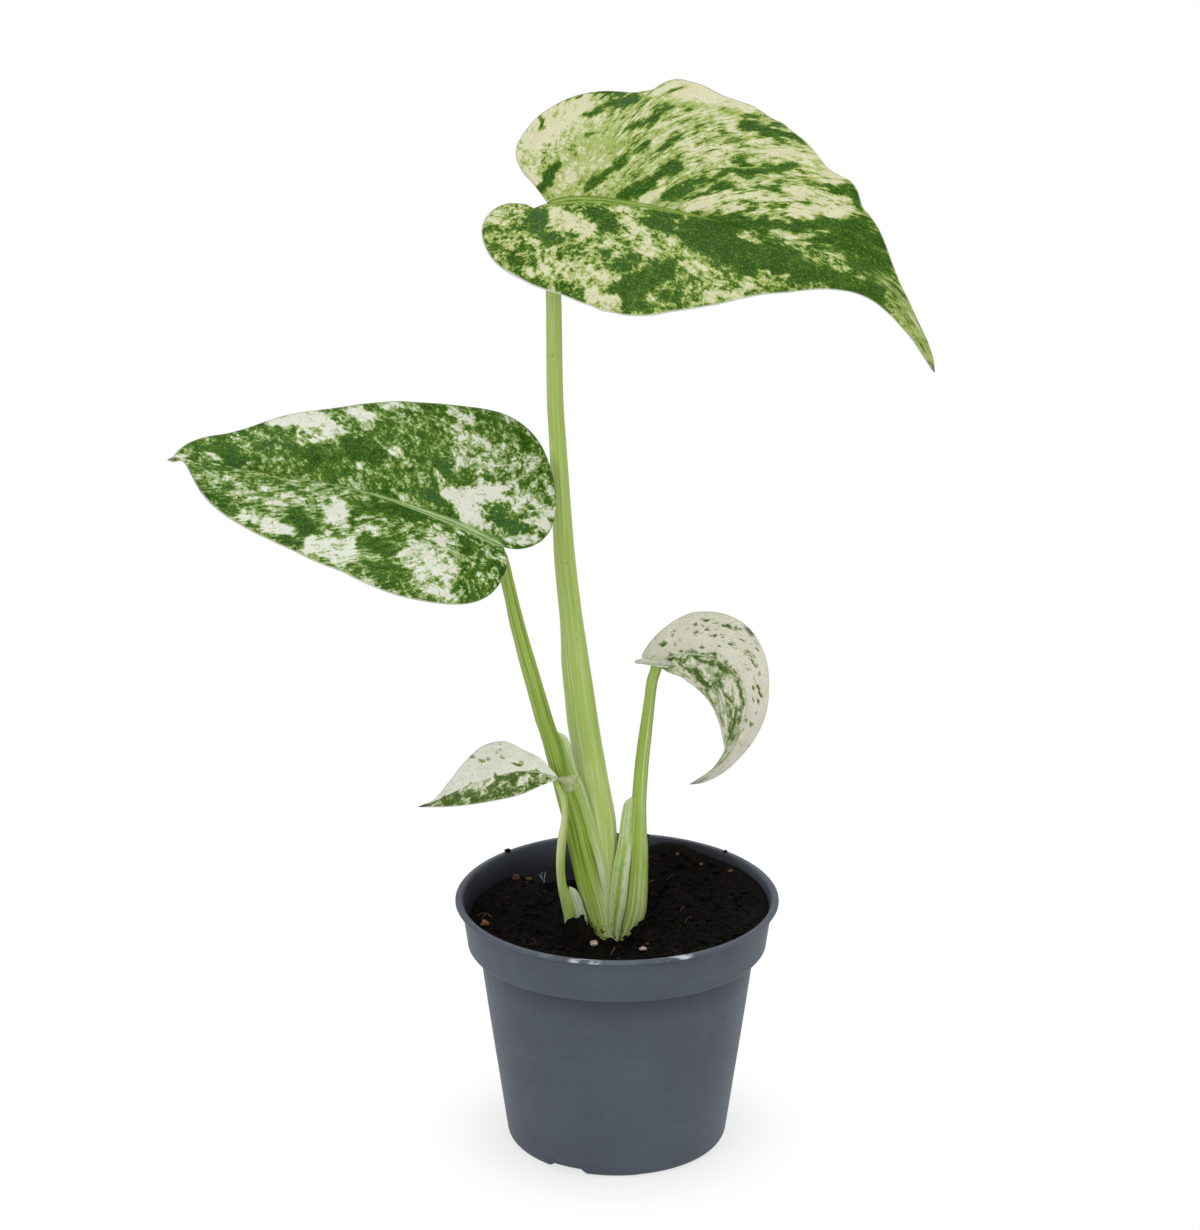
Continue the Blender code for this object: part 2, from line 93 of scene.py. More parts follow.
def soft_step(low, high, value):
    """0 below low, 1 above high, and smooth between."""
    share = np.clip((value - low) / (high - low), 0.0, 1.0)
    return share * share * (3.0 - 2.0 * share)


def band(value, middle, half):
    """1 at the middle and 0 past the half width, with soft sides."""
    return np.exp(-((value - middle) / half) ** 2)


def bands(across, *rows):
    """A sum of soft lines: how much each adds, its middle and its half width."""
    return sum(amount * band(across, middle, half) for amount, middle, half in rows)


def unit(vectors):
    return vectors / np.maximum(np.linalg.norm(vectors, axis=-1, keepdims=True), 1e-9)


def even_turns(count):
    """Angles evenly spaced round a ring."""
    return np.arange(count) * (TURN / count)


def ring(radius, height, turns):
    """A level ring of points, with its angles counted from the front."""
    return np.column_stack([radius * np.sin(turns), -radius * np.cos(turns), height + 0.0 * turns])


def lumps(points, size, seed=0.0):
    """Smooth noise of -1 to 1 at each point, with bumps of about the given size."""
    shift = Vector((seed, seed * 1.7, seed * 0.3))
    return np.array([noise.noise(Vector(p) / size + shift) for p in points])


def add_object(name, data):
    made = bpy.data.objects.new(name, data)
    bpy.context.scene.collection.objects.link(made)
    return made


def make_piece(name, points, faces, finishes, slot, crease, face_finish=None):
    """A named object from points in millimetres, riding on the body."""
    mesh = bpy.data.meshes.new(name)
    mesh.from_pydata((np.asarray(points) * MM).tolist(), [], faces)
    for finish in finishes:
        mesh.materials.append(finish)
    if face_finish is not None:
        mesh.polygons.foreach_set("material_index", face_finish)
    mesh.shade_smooth()
    mesh.set_sharp_from_angle(angle=math.radians(crease))
    made = add_object(name, mesh)
    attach(made, BODY)
    return made


def paint(piece, name, values):
    """Stores one number per point, for the material to read."""
    layer = piece.data.attributes.new(name, "FLOAT", "POINT")
    layer.data.foreach_set("value", np.asarray(values, np.float32))


def lay_out(piece, name, places):
    """Stores a flat place per point, in metres, as the piece's UV map."""
    corner_point = np.empty(len(piece.data.loops), np.int32)
    piece.data.loops.foreach_get("vertex_index", corner_point)
    layer = piece.data.uv_layers.new(name=name)
    layer.data.foreach_set("uv", (np.asarray(places)[corner_point] * MM).astype(np.float32).ravel())


def closed_rings(rings):
    """Points and faces of a body made of rings, closed at both ends on their middles."""
    rings = np.asarray(rings)
    count, sides = rings.shape[:2]
    points = np.vstack([rings.reshape(-1, 3), rings[0].mean(0), rings[-1].mean(0)])
    pairs = [(k, (k + 1) % sides) for k in range(sides)]
    end, top = count * sides, (count - 1) * sides
    faces = [(low + k, low + nxt, low + sides + nxt, low + sides + k)
             for low in range(0, top, sides) for k, nxt in pairs]
    for k, nxt in pairs:
        faces += [(end, nxt, k), (end + 1, top + k, top + nxt)]
    return points, faces


def join(bodies):
    """Points and faces of several bodies put together."""
    start, all_faces = 0, []
    for points, faces in bodies:
        all_faces += [[start + k for k in face] for face in faces]
        start += len(points)
    return np.vstack([points for points, _ in bodies]), all_faces


# ================================================================ material helpers

def shade(code):
    """Linear colour from a hex code."""
    parts = [int(code[i:i + 2], 16) / 255.0 for i in (0, 2, 4)]
    return tuple(c / 12.92 if c <= 0.04045 else ((c + 0.055) / 1.055) ** 2.4 for c in parts) + (1.0,)


class Wire:
    """A shader node's output. Sums and products of wires and numbers make the nodes that work them out."""

    def __init__(self, socket):
        self.socket = socket
        self.tree = socket.id_data

    def calc(self, operation, first, second=0.0):
        return Wire(add_node(self.tree, "Math", {0: first, 1: second}, operation=operation).outputs[0])

    def clamped(self):
        """Keeps the last sum between 0 and 1."""
        self.socket.node.use_clamp = True
        return self

    def __add__(self, other):
        return self.calc("ADD", self, other)

    def __mul__(self, other):
        return self.calc("MULTIPLY", self, other)

    def __sub__(self, other):
        return self.calc("SUBTRACT", self, other)

    def __rsub__(self, other):
        return self.calc("SUBTRACT", other, self)

    def __abs__(self):
        return self.calc("ABSOLUTE", self)

    __radd__, __rmul__ = __add__, __mul__


def put(socket, value):
    """Links a wire to a socket, or sets the socket to a plain value."""
    if isinstance(value, Wire):
        value.tree.links.new(value.socket, socket)
    else:
        socket.default_value = value


def add_node(tree, kind, inputs, **settings):
    """A shader node with its settings and its inputs filled in."""
    made = tree.nodes.new("ShaderNode" + kind)
    for name, value in settings.items():
        setattr(made, name, value)
    for name, value in inputs.items():
        put(made.inputs[name], value)
    return made


def spread(value, low, high, to_low=0.0, to_high=1.0):
    """Maps low..high to to_low..to_high with a smooth step."""
    made = add_node(value.tree, "MapRange", {
        "Value": value, "From Min": low, "From Max": high, "To Min": to_low, "To Max": to_high},
        interpolation_type="SMOOTHSTEP")
    return Wire(made.outputs["Result"])


def blend(share, first, second, kind="MIX"):
    """Mixes two colours."""
    tree = next(value.tree for value in (share, first) if isinstance(value, Wire))
    made = add_node(tree, "Mix", {"Factor": share, 6: first, 7: second}, data_type="RGBA", blend_type=kind)
    return Wire(made.outputs[2])


def mix_number(share, first, second):
    """Mixes two numbers."""
    return Wire(add_node(share.tree, "Mix", {"Factor": share, 2: first, 3: second}).outputs[0])


def grain(place, size, detail=2.0, rough=0.5, twist=0.0):
    """Noise of 0 to 1 with bumps of about the given size in metres."""
    made = add_node(place.tree, "TexNoise", {"Vector": place, "Scale": 1.0 / size, "Detail": detail,
                                             "Roughness": rough, "Distortion": twist})
    return Wire(made.outputs["Fac"])


def stretch(place, scale=(1.0, 1.0, 1.0), shift=(0.0, 0.0, 0.0)):
    made = add_node(place.tree, "Mapping", {"Vector": place, "Scale": scale, "Location": shift})
    return Wire(made.outputs["Vector"])


def steps(value, stops):
    """Colour ramp from (place, colour code) pairs."""
    made = add_node(value.tree, "ValToRGB", {"Fac": value})
    ramp = made.color_ramp
    while len(ramp.elements) < len(stops):
        ramp.elements.new(0.5)
    for element, (place, code) in zip(ramp.elements, stops):
        element.position = place
        element.color = shade(code)
    return Wire(made.outputs["Color"])


def read_number(tree, name):
    return Wire(add_node(tree, "Attribute", {}, attribute_name=name).outputs["Fac"])


def read_uv(tree, name):
    return Wire(add_node(tree, "UVMap", {}, uv_map=name).outputs["UV"])


def object_place(tree):
    return Wire(add_node(tree, "TexCoord", {}).outputs["Object"])


def new_group(name, places, numbers, colours, results):
    """An empty shader group with named sockets: (tree, wires of its inputs, sockets of its results)."""
    tree = bpy.data.node_groups.new(name, "ShaderNodeTree")
    for kind, titles in (("Vector", places), ("Float", numbers), ("Color", colours)):
        for title in titles:
            tree.interface.new_socket(name=title, in_out="INPUT", socket_type="NodeSocket" + kind)
    for title in results:
        kind = "Color" if title == "Colour" else "Float"
        tree.interface.new_socket(name=title, in_out="OUTPUT", socket_type="NodeSocket" + kind)
    inward = tree.nodes.new("NodeGroupInput").outputs
    given = {title: Wire(inward[title]) for title in (*places, *numbers, *colours)}
    return tree, given, tree.nodes.new("NodeGroupOutput").inputs


def use_group(tree, group, **values):
    """Places a group and sets its inputs, named with underscores for spaces."""
    made = add_node(tree, "Group", {}, node_tree=group)
    for name, value in values.items():
        put(made.inputs[name.replace("_", " ")], value)
    return {socket.name: Wire(socket) for socket in made.outputs}


def new_material(name, roughness, specular=0.5):
    made = bpy.data.materials.new(name)
    made.use_nodes = True
    shader = made.node_tree.nodes["Principled BSDF"]
    shader.inputs["Roughness"].default_value = roughness
    shader.inputs["Specular IOR Level"].default_value = specular
    return made, made.node_tree, shader


def coat(shader, colour, height, depth):
    """Colours the surface, and raises it by a height of 0 to 1 times a depth in metres."""
    put(shader.inputs["Base Color"], colour)
    made = add_node(height.tree, "Bump", {"Height": height, "Distance": depth})
    put(shader.inputs["Normal"], Wire(made.outputs["Normal"]))


# ================================================================ shared effects

def marbling_group():
    """Variegation: one tone that runs from dark green through lime and sage to cream.

    Pale Share is the tone of an area, Even how calm it is, Streak how far its marks are drawn out
    along the veins, and Sheen how strongly its dark greens take a painted bluish sheen and shade.
    """
    tree, given, result = new_group(
        "leaf_marbling", ("Vein Place", "Place"), ("Pale Share", "Even", "Streak", "Cool"),
        ("Cream", "Sage", "Lime", "Green", "Dark Green"), ("Colour", "Pale", "Grain"))
    place, pale_share, calmness = given["Place"], given["Pale Share"], given["Even"]

    def marks(shift, size, detail, gain):
        """Noise about 0, drawn out along the veins by the streak share."""
        drawn = grain(stretch(given["Vein Place"], (1.85, 0.55, 1.0), shift), size, detail, 0.5, 0.35)
        loose = grain(stretch(place, shift=shift), size * 0.85, detail, 0.52, 0.5)
        return (mix_number(given["Streak"], loose, drawn) - 0.5) * gain

    marks_sum = marks((0.0, 0.0, 0.0), 0.0080, 2.0, 1.0) + (
        marks((0.37, 0.61, 0.0), 0.0036, 3.0, 2.3) + marks((0.71, 0.13, 0.0), 0.0014, 2.0, 1.5))
    swing = mix_number(calmness, 1.0, 0.32) * mix_number(spread(abs(pale_share - 0.5), 0.22, 0.48), 1.0, 0.58)
    tone = pale_share * 0.87 + 0.05 + marks_sum * swing
    dots = grain(stretch(place, shift=(0.5, 0.9, 0.1)), 0.0009, 2.0, 0.6)
    dots = spread(dots, 0.37, 0.32) * 0.28 - spread(dots, 0.64, 0.70) * 0.40
    tone = tone + dots * mix_number(calmness, 1.0, 0.35)
    # Painted sheen and shade: the dark greens turn bluish where Sheen is high.
    bluish = blend(given["Cool"] * 0.75, given["Dark Green"], shade("40653A"))
    tint = grain(place, 0.0055, 4.0, 0.6)
    sage = blend(spread(tint, 0.42, 0.62) * 0.6, given["Sage"], shade("E9EAB0"), "MULTIPLY")
    cream = blend(spread(tint, 0.58, 0.40) * 0.22, given["Cream"], shade("E6D8C0"), "MULTIPLY")
    colour = blend(spread(tone, 0.02, 0.34), bluish, given["Green"])
    flecks = grain(stretch(place, shift=(0.1, 0.3, 0.8)), 0.0007, 2.0, 0.6)
    colour = blend(spread(flecks, 0.56, 0.66) * 0.6, colour, given["Lime"])
    for low, high, paler in ((0.36, 0.45, given["Lime"]), (0.46, 0.55, sage), (0.62, 0.78, cream)):
        colour = blend(spread(tone, low, high), colour, paler)
    cells = grain(place, 0.0005, 2.0, 0.6)
    colour = blend(spread(cells, 0.62, 0.36) * 0.35, colour, shade("D2D8BC"), "MULTIPLY")
    put(result["Colour"], colour)
    put(result["Pale"], spread(tone, 0.4, 0.6))
    put(result["Grain"], (marks_sum * 0.4 + 0.5).clamped())
    return tree


def stripe_group():
    """Fine lengthwise stripes of a stalk, between its light and dark colours."""
    tree, given, result = new_group("stalk_stripes", ("Skin Place",), ("Tone", "Flecks"),
                                    ("Light", "Middle", "Dark"), ("Colour", "Ridges"))
    place = given["Skin Place"]
    broad = grain(stretch(place, (1.0, 0.012, 1.0)), 0.0010, 3.0, 0.6)
    fine = grain(stretch(place, (1.0, 0.015, 1.0), (0.5, 0.0, 0.0)), 0.0005, 2.0, 0.6)
    relief = (spread(broad, 0.3, 0.7) - 0.5) * 0.32 + (spread(fine, 0.34, 0.66) - 0.5) * 0.34
    tone = (given["Tone"] + relief).clamped()
    colour = blend(spread(tone, 0.0, 0.5), given["Dark"], given["Middle"])
    colour = blend(spread(tone, 0.5, 1.0), colour, given["Light"])
    dashes = grain(stretch(place, (1.0, 0.3, 1.0), (0.2, 0.6, 0.0)), 0.0008, 2.0, 0.5)
    put(result["Colour"], blend(spread(dashes, 0.57, 0.65) * given["Flecks"], colour, given["Dark"]))
    put(result["Ridges"], broad * 0.6 + fine * 0.4)
    return tree


def speckle_group():
    """Scattered soil dust and specks: a mask of small dots that come in clusters."""
    tree, given, result = new_group("soil_dust", ("Place",), ("Amount",), (), ("Mask",))
    cluster = grain(given["Place"], 0.011, 3.0, 0.6)
    dots = grain(stretch(given["Place"], shift=(0.4, 0.2, 0.7)), 0.0011, 2.0, 0.6)
    put(result["Mask"], spread(cluster * 0.35 + dots + given["Amount"] * 0.25, 0.90, 0.97))
    return tree


MARBLING = marbling_group()
STRIPES = stripe_group()
SOIL_DUST = speckle_group()


# ================================================================ finishes

def leaf_finish(name, colours, roughness=0.42, veil=0.0, rim_share=0.75):
    """One side of a leaf. Veil fades the pattern towards a matte underside.

    The colours are cream, sage, lime, green, dark green, and the midrib's pale and green lines.
    """
    made, tree, shader = new_material(name, roughness, 0.1)
    cream, sage, lime, green, dark, rib_pale, rib_green = map(shade, colours.split())
    marks = use_group(tree, MARBLING, Vein_Place=read_uv(tree, "vein_map"), Place=object_place(tree),
                      Pale_Share=read_number(tree, "pale"), Even=read_number(tree, "even"),
                      Streak=read_number(tree, "streak"), Cool=read_number(tree, "sheen_and_shade"),
                      Cream=cream, Sage=sage, Lime=lime, Green=green, Dark_Green=dark)
    across = read_number(tree, "rib")
    place = add_node(tree, "CombineXYZ", {0: across * 0.0042, 1: read_number(tree, "along") * 0.09})
    wave = across.calc("COSINE", across * 7.854 + 2.749)
    lines = wave * 0.16 + grain(Wire(place.outputs[0]), 0.0018, 3.0, 0.6)
    rib_colour = blend(spread(lines, 0.30, 0.70), rib_green, rib_pale)
    on_rib = (0.9 - spread(abs(across), 0.7, 1.15)).clamped() * read_number(tree, "rib_strength")
    colour = blend(on_rib, marks["Colour"], rib_colour)
    # The thin margin line takes painted shade where the edge rises at the top of the blade, and a painted
    # highlight where it hangs down.
    rim = read_number(tree, "rim")
    painted_rim_colour = blend(rim.calc("GREATER_THAN", rim), shade("949C80"), shade("CDD1C0"))
    colour = blend((1.0 - spread(abs(rim), 0.2, 0.9)) * rim_share, colour, painted_rim_colour)
    colour = blend(read_number(tree, "withered"), colour, shade("5E4E44"))
    colour = blend(veil, colour, shade("A9BA86"))
    put(shader.inputs["Roughness"], marks["Pale"] * 0.08 + roughness)
    coat(shader, colour, marks["Grain"], 0.00012)
    return made


def stalk_finish(name, colours, roughness=0.42):
    """The skin of a stalk, in its light, middle and dark colours."""
    made, tree, shader = new_material(name, roughness)
    light, middle, dark = map(shade, colours.split())
    lines = use_group(tree, STRIPES, Skin_Place=read_uv(tree, "skin_map"), Tone=read_number(tree, "tone"),
                      Light=light, Middle=middle, Dark=dark, Flecks=read_number(tree, "flecks"))
    dust = use_group(tree, SOIL_DUST, Place=object_place(tree), Amount=read_number(tree, "dirt"))
    coat(shader, blend(dust["Mask"], lines["Colour"], shade("4A3826")), lines["Ridges"], 0.00025)
    return made


def plastic_finish():
    made, tree, shader = new_material("pot_plastic", 0.55, 0.22)
    place = object_place(tree)
    cloud = grain(place, 0.028, 3.0, 0.55)
    fine = grain(place, 0.0016, 3.0, 0.6)
    flow = grain(stretch(place, (0.12, 0.12, 1.0)), 0.0035, 3.0, 0.6)
    dust = use_group(tree, SOIL_DUST, Place=place, Amount=read_number(tree, "dirt"))
    broken = grain(stretch(place, (0.35, 1.0, 1.0)), 0.0028, 3.0, 0.6)
    colour = blend(spread(cloud, 0.3, 0.7), shade("4E545F"), shade("555C68"))
    for share, code in ((spread(flow, 0.45, 0.75) * 0.25, "5D6470"), (spread(fine, 0.5, 0.8) * 0.3, "636A77"),
                        # painted shade on the inner wall, close to black towards the soil
                        (read_number(tree, "inside") * 0.97, "0A0E14"),
                        (read_number(tree, "shaded") * 0.5, "282B31"),
                        (dust["Mask"] * 0.8, "2A221A"),
                        # painted highlight along the lip, broken up by noise
                        (read_number(tree, "painted_lip_highlight") * spread(broken, 0.40, 0.56), "CDD3DC")):
        colour = blend(share, colour, shade(code))
    put(shader.inputs["Roughness"], fine * 0.2 + 0.42)
    coat(shader, colour, fine * 0.5 + flow, 0.00006)
    return made


def soil_finish():
    made, tree, shader = new_material("potting_mix", 0.95, 0.08)
    place = object_place(tree)
    coarse = grain(place, 0.009, 4.0, 0.65)
    fine = grain(place, 0.0012, 4.0, 0.7)
    tone = (read_number(tree, "tone") + ((coarse - 0.5) * 0.9 + (fine - 0.5) * 1.1)).clamped()
    colour = steps(tone, ((0.0, "060504"), (0.42, "0F0D0A"), (0.66, "1E1913"), (0.86, "3D2F22"),
                          (1.0, "6A543C")))
    hue = grain(stretch(place, shift=(0.3, 0.8, 0.2)), 0.006, 3.0, 0.6)
    colour = blend(spread(hue, 0.45, 0.65) * 0.5, colour, shade("A9C08A"), "MULTIPLY")
    colour = blend(spread(hue, 0.52, 0.35) * 0.5, colour, shade("E0A890"), "MULTIPLY")
    coat(shader, colour, coarse * 0.6 + fine, 0.0009)
    return made


def grain_finish(name, light, dark, size):
    """A bit in the soil: a mottled surface with pits."""
    made, tree, shader = new_material(name, 0.85, 0.3)
    place = object_place(tree)
    patch = grain(place, size, 5.0, 0.65)
    colour = blend(spread(patch, 0.38, 0.62), shade(dark), shade(light))
    coat(shader, colour, patch + grain(place, size * 0.3, 3.0, 0.6), 0.0004)
    return made


CREAM_TOP = leaf_finish("cream_marbled_leaf", "DEDDBA AFBE78 80983F 446A18 294F08 98B054 5A7C24",
                        rim_share=0.95)
WHITE_TOP = leaf_finish("white_marbled_leaf", "E8EADE A6BA86 749244 446A12 224A00 BACB94 6A8F44")
LOBE_TOP = leaf_finish("leaf_lobe", "C0C49C A4B380 86A058 64803E 4A6230 AEB88C 8CA064", 0.45, rim_share=0.1)
FOLD_TOP = leaf_finish("leaf_fold", "D9DACC AEB596 8FA068 64803E 4A6230 CCCFBC A4AC8C", 0.45, rim_share=0.35)
PALE_TOP = leaf_finish("pale_marbled_leaf", "E4E2D3 B3BB9A 8A9A6A 5E7440 466028 D0D4BC 98A880", 0.45)
SMALL_TOP = leaf_finish("soft_white_leaf", "EFF0E6 B8C29A 8A9C62 5C763A 446024 D4D8C0 98A880", 0.45)
LEAF_UNDER = leaf_finish("leaf_lower_side", "DADCC4 AFC08E 94AC68 5F8446 4A7236 C9D4A4 A3B97A", 0.6, 0.3)
STALK_GREEN = stalk_finish("green_stalk", "CEDC98 9BB840 608404")
STALK_LIME = stalk_finish("lime_stalk", "D4DFA4 B0C860 88A634")
SHEATH_PALE = stalk_finish("pale_sheath", "CDD6BE A9B98A 7C9446", 0.5)
SHEATH_CLEAR = stalk_finish("clear_sheath", "D6E0B6 A8C266 7CA230", 0.5)
PLASTIC = plastic_finish()
SOIL = soil_finish()
BARK = grain_finish("bark", "B0764A", "6E4426", 0.0012)
PERLITE = grain_finish("perlite", "E6D6C8", "A98F7C", 0.0009)
TAN = grain_finish("tan_grain", "8A744B", "453827", 0.0007)
REDDISH = grain_finish("reddish_bark", "6E4A38", "33211A", 0.0010)
LEAF_CRUMB = grain_finish("leaf_crumb", "222E18", "0C1208", 0.0012)
FIBRE = grain_finish("root_fibre", "7A6352", "3E3026", 0.0015)
PALE_FIBRE = grain_finish("pale_fibre", "C9D0D6", "8E989F", 0.0012)


# ================================================================ pot

POT_HEIGHT = 96.0
POT_SIDES = 360
# Outer and inner profile from the middle of the underside, up the outside, over the lip and down the inside.
POT_UNDERSIDE = ((0, 0), (10, 0), (20.5, 0), (21.6, 0.2), (22.3, 0.8), (23, 1.8), (23.8, 2.2), (28, 2.2),
    (32.2, 2.2), (32.7, 2), (33.2, 0.6), (33.6, 0.1), (34.2, 0), (36.4, 0))
FOOT_RADIUS = 37.0  # where the rounded edge between the underside and the wall begins
FOOT_ROUND = 4.2  # radius of that edge
FOOT_STEPS = 10
POT_SIDE = ((41.25, 4.4), (42.2, 11), (44, 24), (46, 38), (48, 52.5), (49.6, 64.5), (51, 75), (51.2, 77.2),
    (51.5, 77.75), (52.4, 77.9), (54.4, 78), (55.2, 78.2), (55.55, 78.7), (55.65, 79.6), (56.25, 84),
    (57, 89), (57.4, 92.2), (57.6, 94), (57.75, 94.55), (58.3, 94.6), (59.4, 94.6), (59.85, 94.75),
    (60.05, 95.15), (60, 95.6), (59.75, 95.9), (59.3, 96), (58.3, 96), (57.75, 95.9), (57.35, 95.6),
    (57.1, 95), (56.7, 93.4), (56.1, 90.5), (55.4, 86), (54.7, 81.5), (54.2, 79.5), (53.2, 79.05),
    (50.9, 78.8), (50.3, 78.2), (49.6, 73), (47.4, 56), (45, 38), (42.6, 20), (40.5, 6.3), (39.6, 4.4),
    (38.2, 3.4), (30, 3.3), (23.4, 3.3), (22.2, 1.3), (12, 1.1), (0, 1.1))
# Gaps in the foot ring: first and last angle, and height. They repeat three times round.
FOOT_GAPS = ((-38.8, -17.8, 3), (11, 53, 1))
FOOT_INNER = 31.0
RIM_OUT = 0.016  # the far side of the rim stands out by this share
RIM_UP = 0.6  # and higher by this
DRAIN_HOLES = 8
DRAIN_RADIUS = 2.4
DRAIN_CIRCLE = 28.5
# Where a highlight is painted along the lip: angle from the front, half the width, and how strongly.
LIP_HIGHLIGHTS = ((-11.5, 6.5, 0.95), (1.0, 7.0, 0.06), (20.5, 7.5, 0.95), (-24.0, 5.0, 0.1))


def angle_apart(first, second):
    """The signed angle from the second to the first, within half a turn."""
    return (first - second + 180.0) % 360.0 - 180.0


def foot_lift(angles):
    """How far the foot ring's underside is off the ground at angles in degrees from the front."""
    lift = np.zeros_like(angles)
    for repeat in range(3):
        for first, last, height in FOOT_GAPS:
            off = np.abs(angle_apart(angles, (first + last) / 2 + 120.0 * repeat))
            half = (last - first) / 2
            lift = np.maximum(lift, height * (1.0 - soft_step(half - 0.9, half + 0.9, off)))
    return lift


def far_share(backward, height):
    """0 to 1 at the far side of the rim, which stands a little further out and higher."""
    return np.clip(backward, 0, 1) ** 2 * np.clip((height - 80.0) / 14.0, 0, 1)


def drill_drains(pot):
    """Cuts the drain holes through the floor of the pot."""
    holes = bmesh.new()
    for k in range(DRAIN_HOLES):
        turn = TURN * (k + 0.5) / DRAIN_HOLES
        made = bmesh.ops.create_cone(holes, cap_ends=True, segments=32, radius1=DRAIN_RADIUS * MM,
                                     radius2=DRAIN_RADIUS * MM, depth=7 * MM)
        shift = Vector((math.sin(turn), -math.cos(turn), 0.0)) * DRAIN_CIRCLE * MM
        bmesh.ops.translate(holes, verts=made["verts"], vec=shift + Vector((0, 0, 2.5 * MM)))
    tool_mesh = bpy.data.meshes.new("drain_tool")
    holes.to_mesh(tool_mesh)
    holes.free()
    tool = add_object("drain_tool", tool_mesh)
    change = pot.modifiers.new("drain", "BOOLEAN")
    change.operation = "DIFFERENCE"
    change.solver = "EXACT"
    change.object = tool
    bpy.context.view_layer.update()
    cut = bpy.data.meshes.new_from_object(pot.evaluated_get(bpy.context.evaluated_depsgraph_get()))
    pot.modifiers.clear()
    pot.data = cut
    bpy.data.objects.remove(tool)


def build_pot():
    turns = even_turns(POT_SIDES)
    corner = [(FOOT_RADIUS + FOOT_ROUND * math.cos(a), FOOT_ROUND + FOOT_ROUND * math.sin(a))
              for a in np.radians(np.linspace(-85, -4, FOOT_STEPS))]
    profile = np.array([*POT_UNDERSIDE, *corner, *POT_SIDE], float)
    lift = foot_lift(np.degrees(turns))
    rings = []
    for index, (radius, height) in enumerate(profile[1:-1]):
        far = far_share(-np.cos(turns), height)
        wobble = 1.0 + 0.0006 * np.sin(2 * turns + 0.6) * (height / POT_HEIGHT) + RIM_OUT * far
        low = height + RIM_UP * far
        if FOOT_INNER < radius and index < len(POT_UNDERSIDE) + FOOT_STEPS:
            low = np.maximum(low, lift)
        rings.append(ring(radius * wobble, low, turns))
    points, faces = closed_rings(rings)
    points[-2] = (0, 0, profile[0][1])
    points[-1] = (0, 0, profile[-1][1])
    pot = make_piece("nursery_pot", points, faces, [PLASTIC], "pot_plastic", 50.0)
    drill_drains(pot)

    x, y, height = np.array([v.co[:] for v in pot.data.vertices]).T / MM
    radius = np.hypot(x, y)
    angle = np.degrees(np.arctan2(x, -y)) % 360
    far = far_share(y / radius.clip(1.0), height)
    level = height - RIM_UP * far
    inside = (radius / (1.0 + RIM_OUT * far)
              < np.interp(level, (78, 94, 96), (54.6, 57.2, 57.9))) & (level > 78)
    paint(pot, "dirt", inside * (0.15 + 0.5 * band(angle, 150, 40.0) + 0.5 * soft_step(92, 84, height)))
    # Painted shade: the inner wall is coloured darker towards the soil, and darkest on the sides where its
    # shade is deepest.
    deeper_wall_shade = band(angle, 262, 32.0) + 0.9 * band(angle, 222, 16.0) + 1.3 * band(angle, 148, 22.0)
    paint(pot, "inside",
          inside * np.clip(0.32 + 0.54 * soft_step(95.6, 84.5, height) + 0.35 * deeper_wall_shade, 0, 1))
    paint(pot, "shaded", soft_step(73.0, 76.2, height) * (height < 78.1) * (radius > 50.0))
    # Painted highlight: pale streaks along the top of the lip's outer edge.
    streaks = sum(soft_step(half, half * 0.6, np.abs(angle_apart(angle, middle))) * share
                  for middle, half, share in LIP_HIGHLIGHTS)
    paint(pot, "painted_lip_highlight", np.clip(streaks, 0, 1) * soft_step(57.9, 58.7, radius) * (height > 94.9))
    return pot


# ================================================================ soil

SOIL_LEVEL = 82.5
# The soil's height at the wall, by angle from the front.
SOIL_EDGE = ((0, 84), (45, 88.5), (75, 92), (109, 93.3), (126, 93.6), (140, 92.4), (148, 92.6), (156, 94.6),
    (162, 94.6), (168, 92.5), (180, 87), (196, 80.8), (210, 81.2), (216, 84), (221, 86.8), (229, 88.1),
    (245, 87.6), (254, 87.6), (260, 85.4), (270, 85), (315, 84), (360, 84))
SOIL_REACH = 53.8
# The soil's side in the pot, from its underside up: radius and height.
SOIL_SIDE = ((22.0, 3.4), (38.0, 3.7), (40.0, 6.0), (45.0, 40.0), (49.9, 77.5), (53.7, 79.6))
# Heaps of soil against the stalks: x, y, how wide and how high.
HEAPS = ((-15.6, -12.5, 3.8, 7), (-18.8, -12.5, 2.6, 4.4), (-12.2, -12, 2.8, 5.6), (-8.6, -11, 2, 1.2),
    (9.6, -9.6, 3.6, 6.4), (6.2, -11.8, 2.2, 2.8), (13.5, -1, 4.5, 4))
# Clods at the foot of the stalks: x, y and size.
CLODS = ((-17.1, 0.5, 1), (-15.4, -3.6, 1.3), (-14.2, -6.2, 1), (-12.9, -3.9, 1.5), (-11.4, -8.4, 1.1),
    (-9.9, -10.4, 1.2), (-8.4, -11.9, 1), (-6.6, -13.2, 1.1), (-4.4, -13.6, 1.2), (-2.2, -14, 1),
    (0.2, -13.8, 1.2), (2.4, -13, 1.1), (4.2, -12.2, 1.3), (6, -10.8, 1.2), (7.6, -9.2, 1.4),
    (8.6, -6.8, 1.2), (9.8, -4.6, 1.3), (10.8, -1.8, 1.1), (11.6, 1.4, 1.2), (12.2, 5.2, 1),
    (-19.4, -5.6, 0.9), (-18.6, -8.8, 0.9), (-16.6, -9.9, 1), (4.6, -16.2, 0.9), (-13, -11.5, 0.9))
SOIL_SIDES, SOIL_RINGS = 300, 92
CRUMBS = 1900
CRUMB_SHAPES = 14
CRUMB_REACH = 53.2
STREWN_FIBRES = 20


def ripple(x, y, size, layer):
    """Smooth noise over the soil, with bumps of about the given size."""
    return noise.noise(Vector((x / size, y / size, layer)))


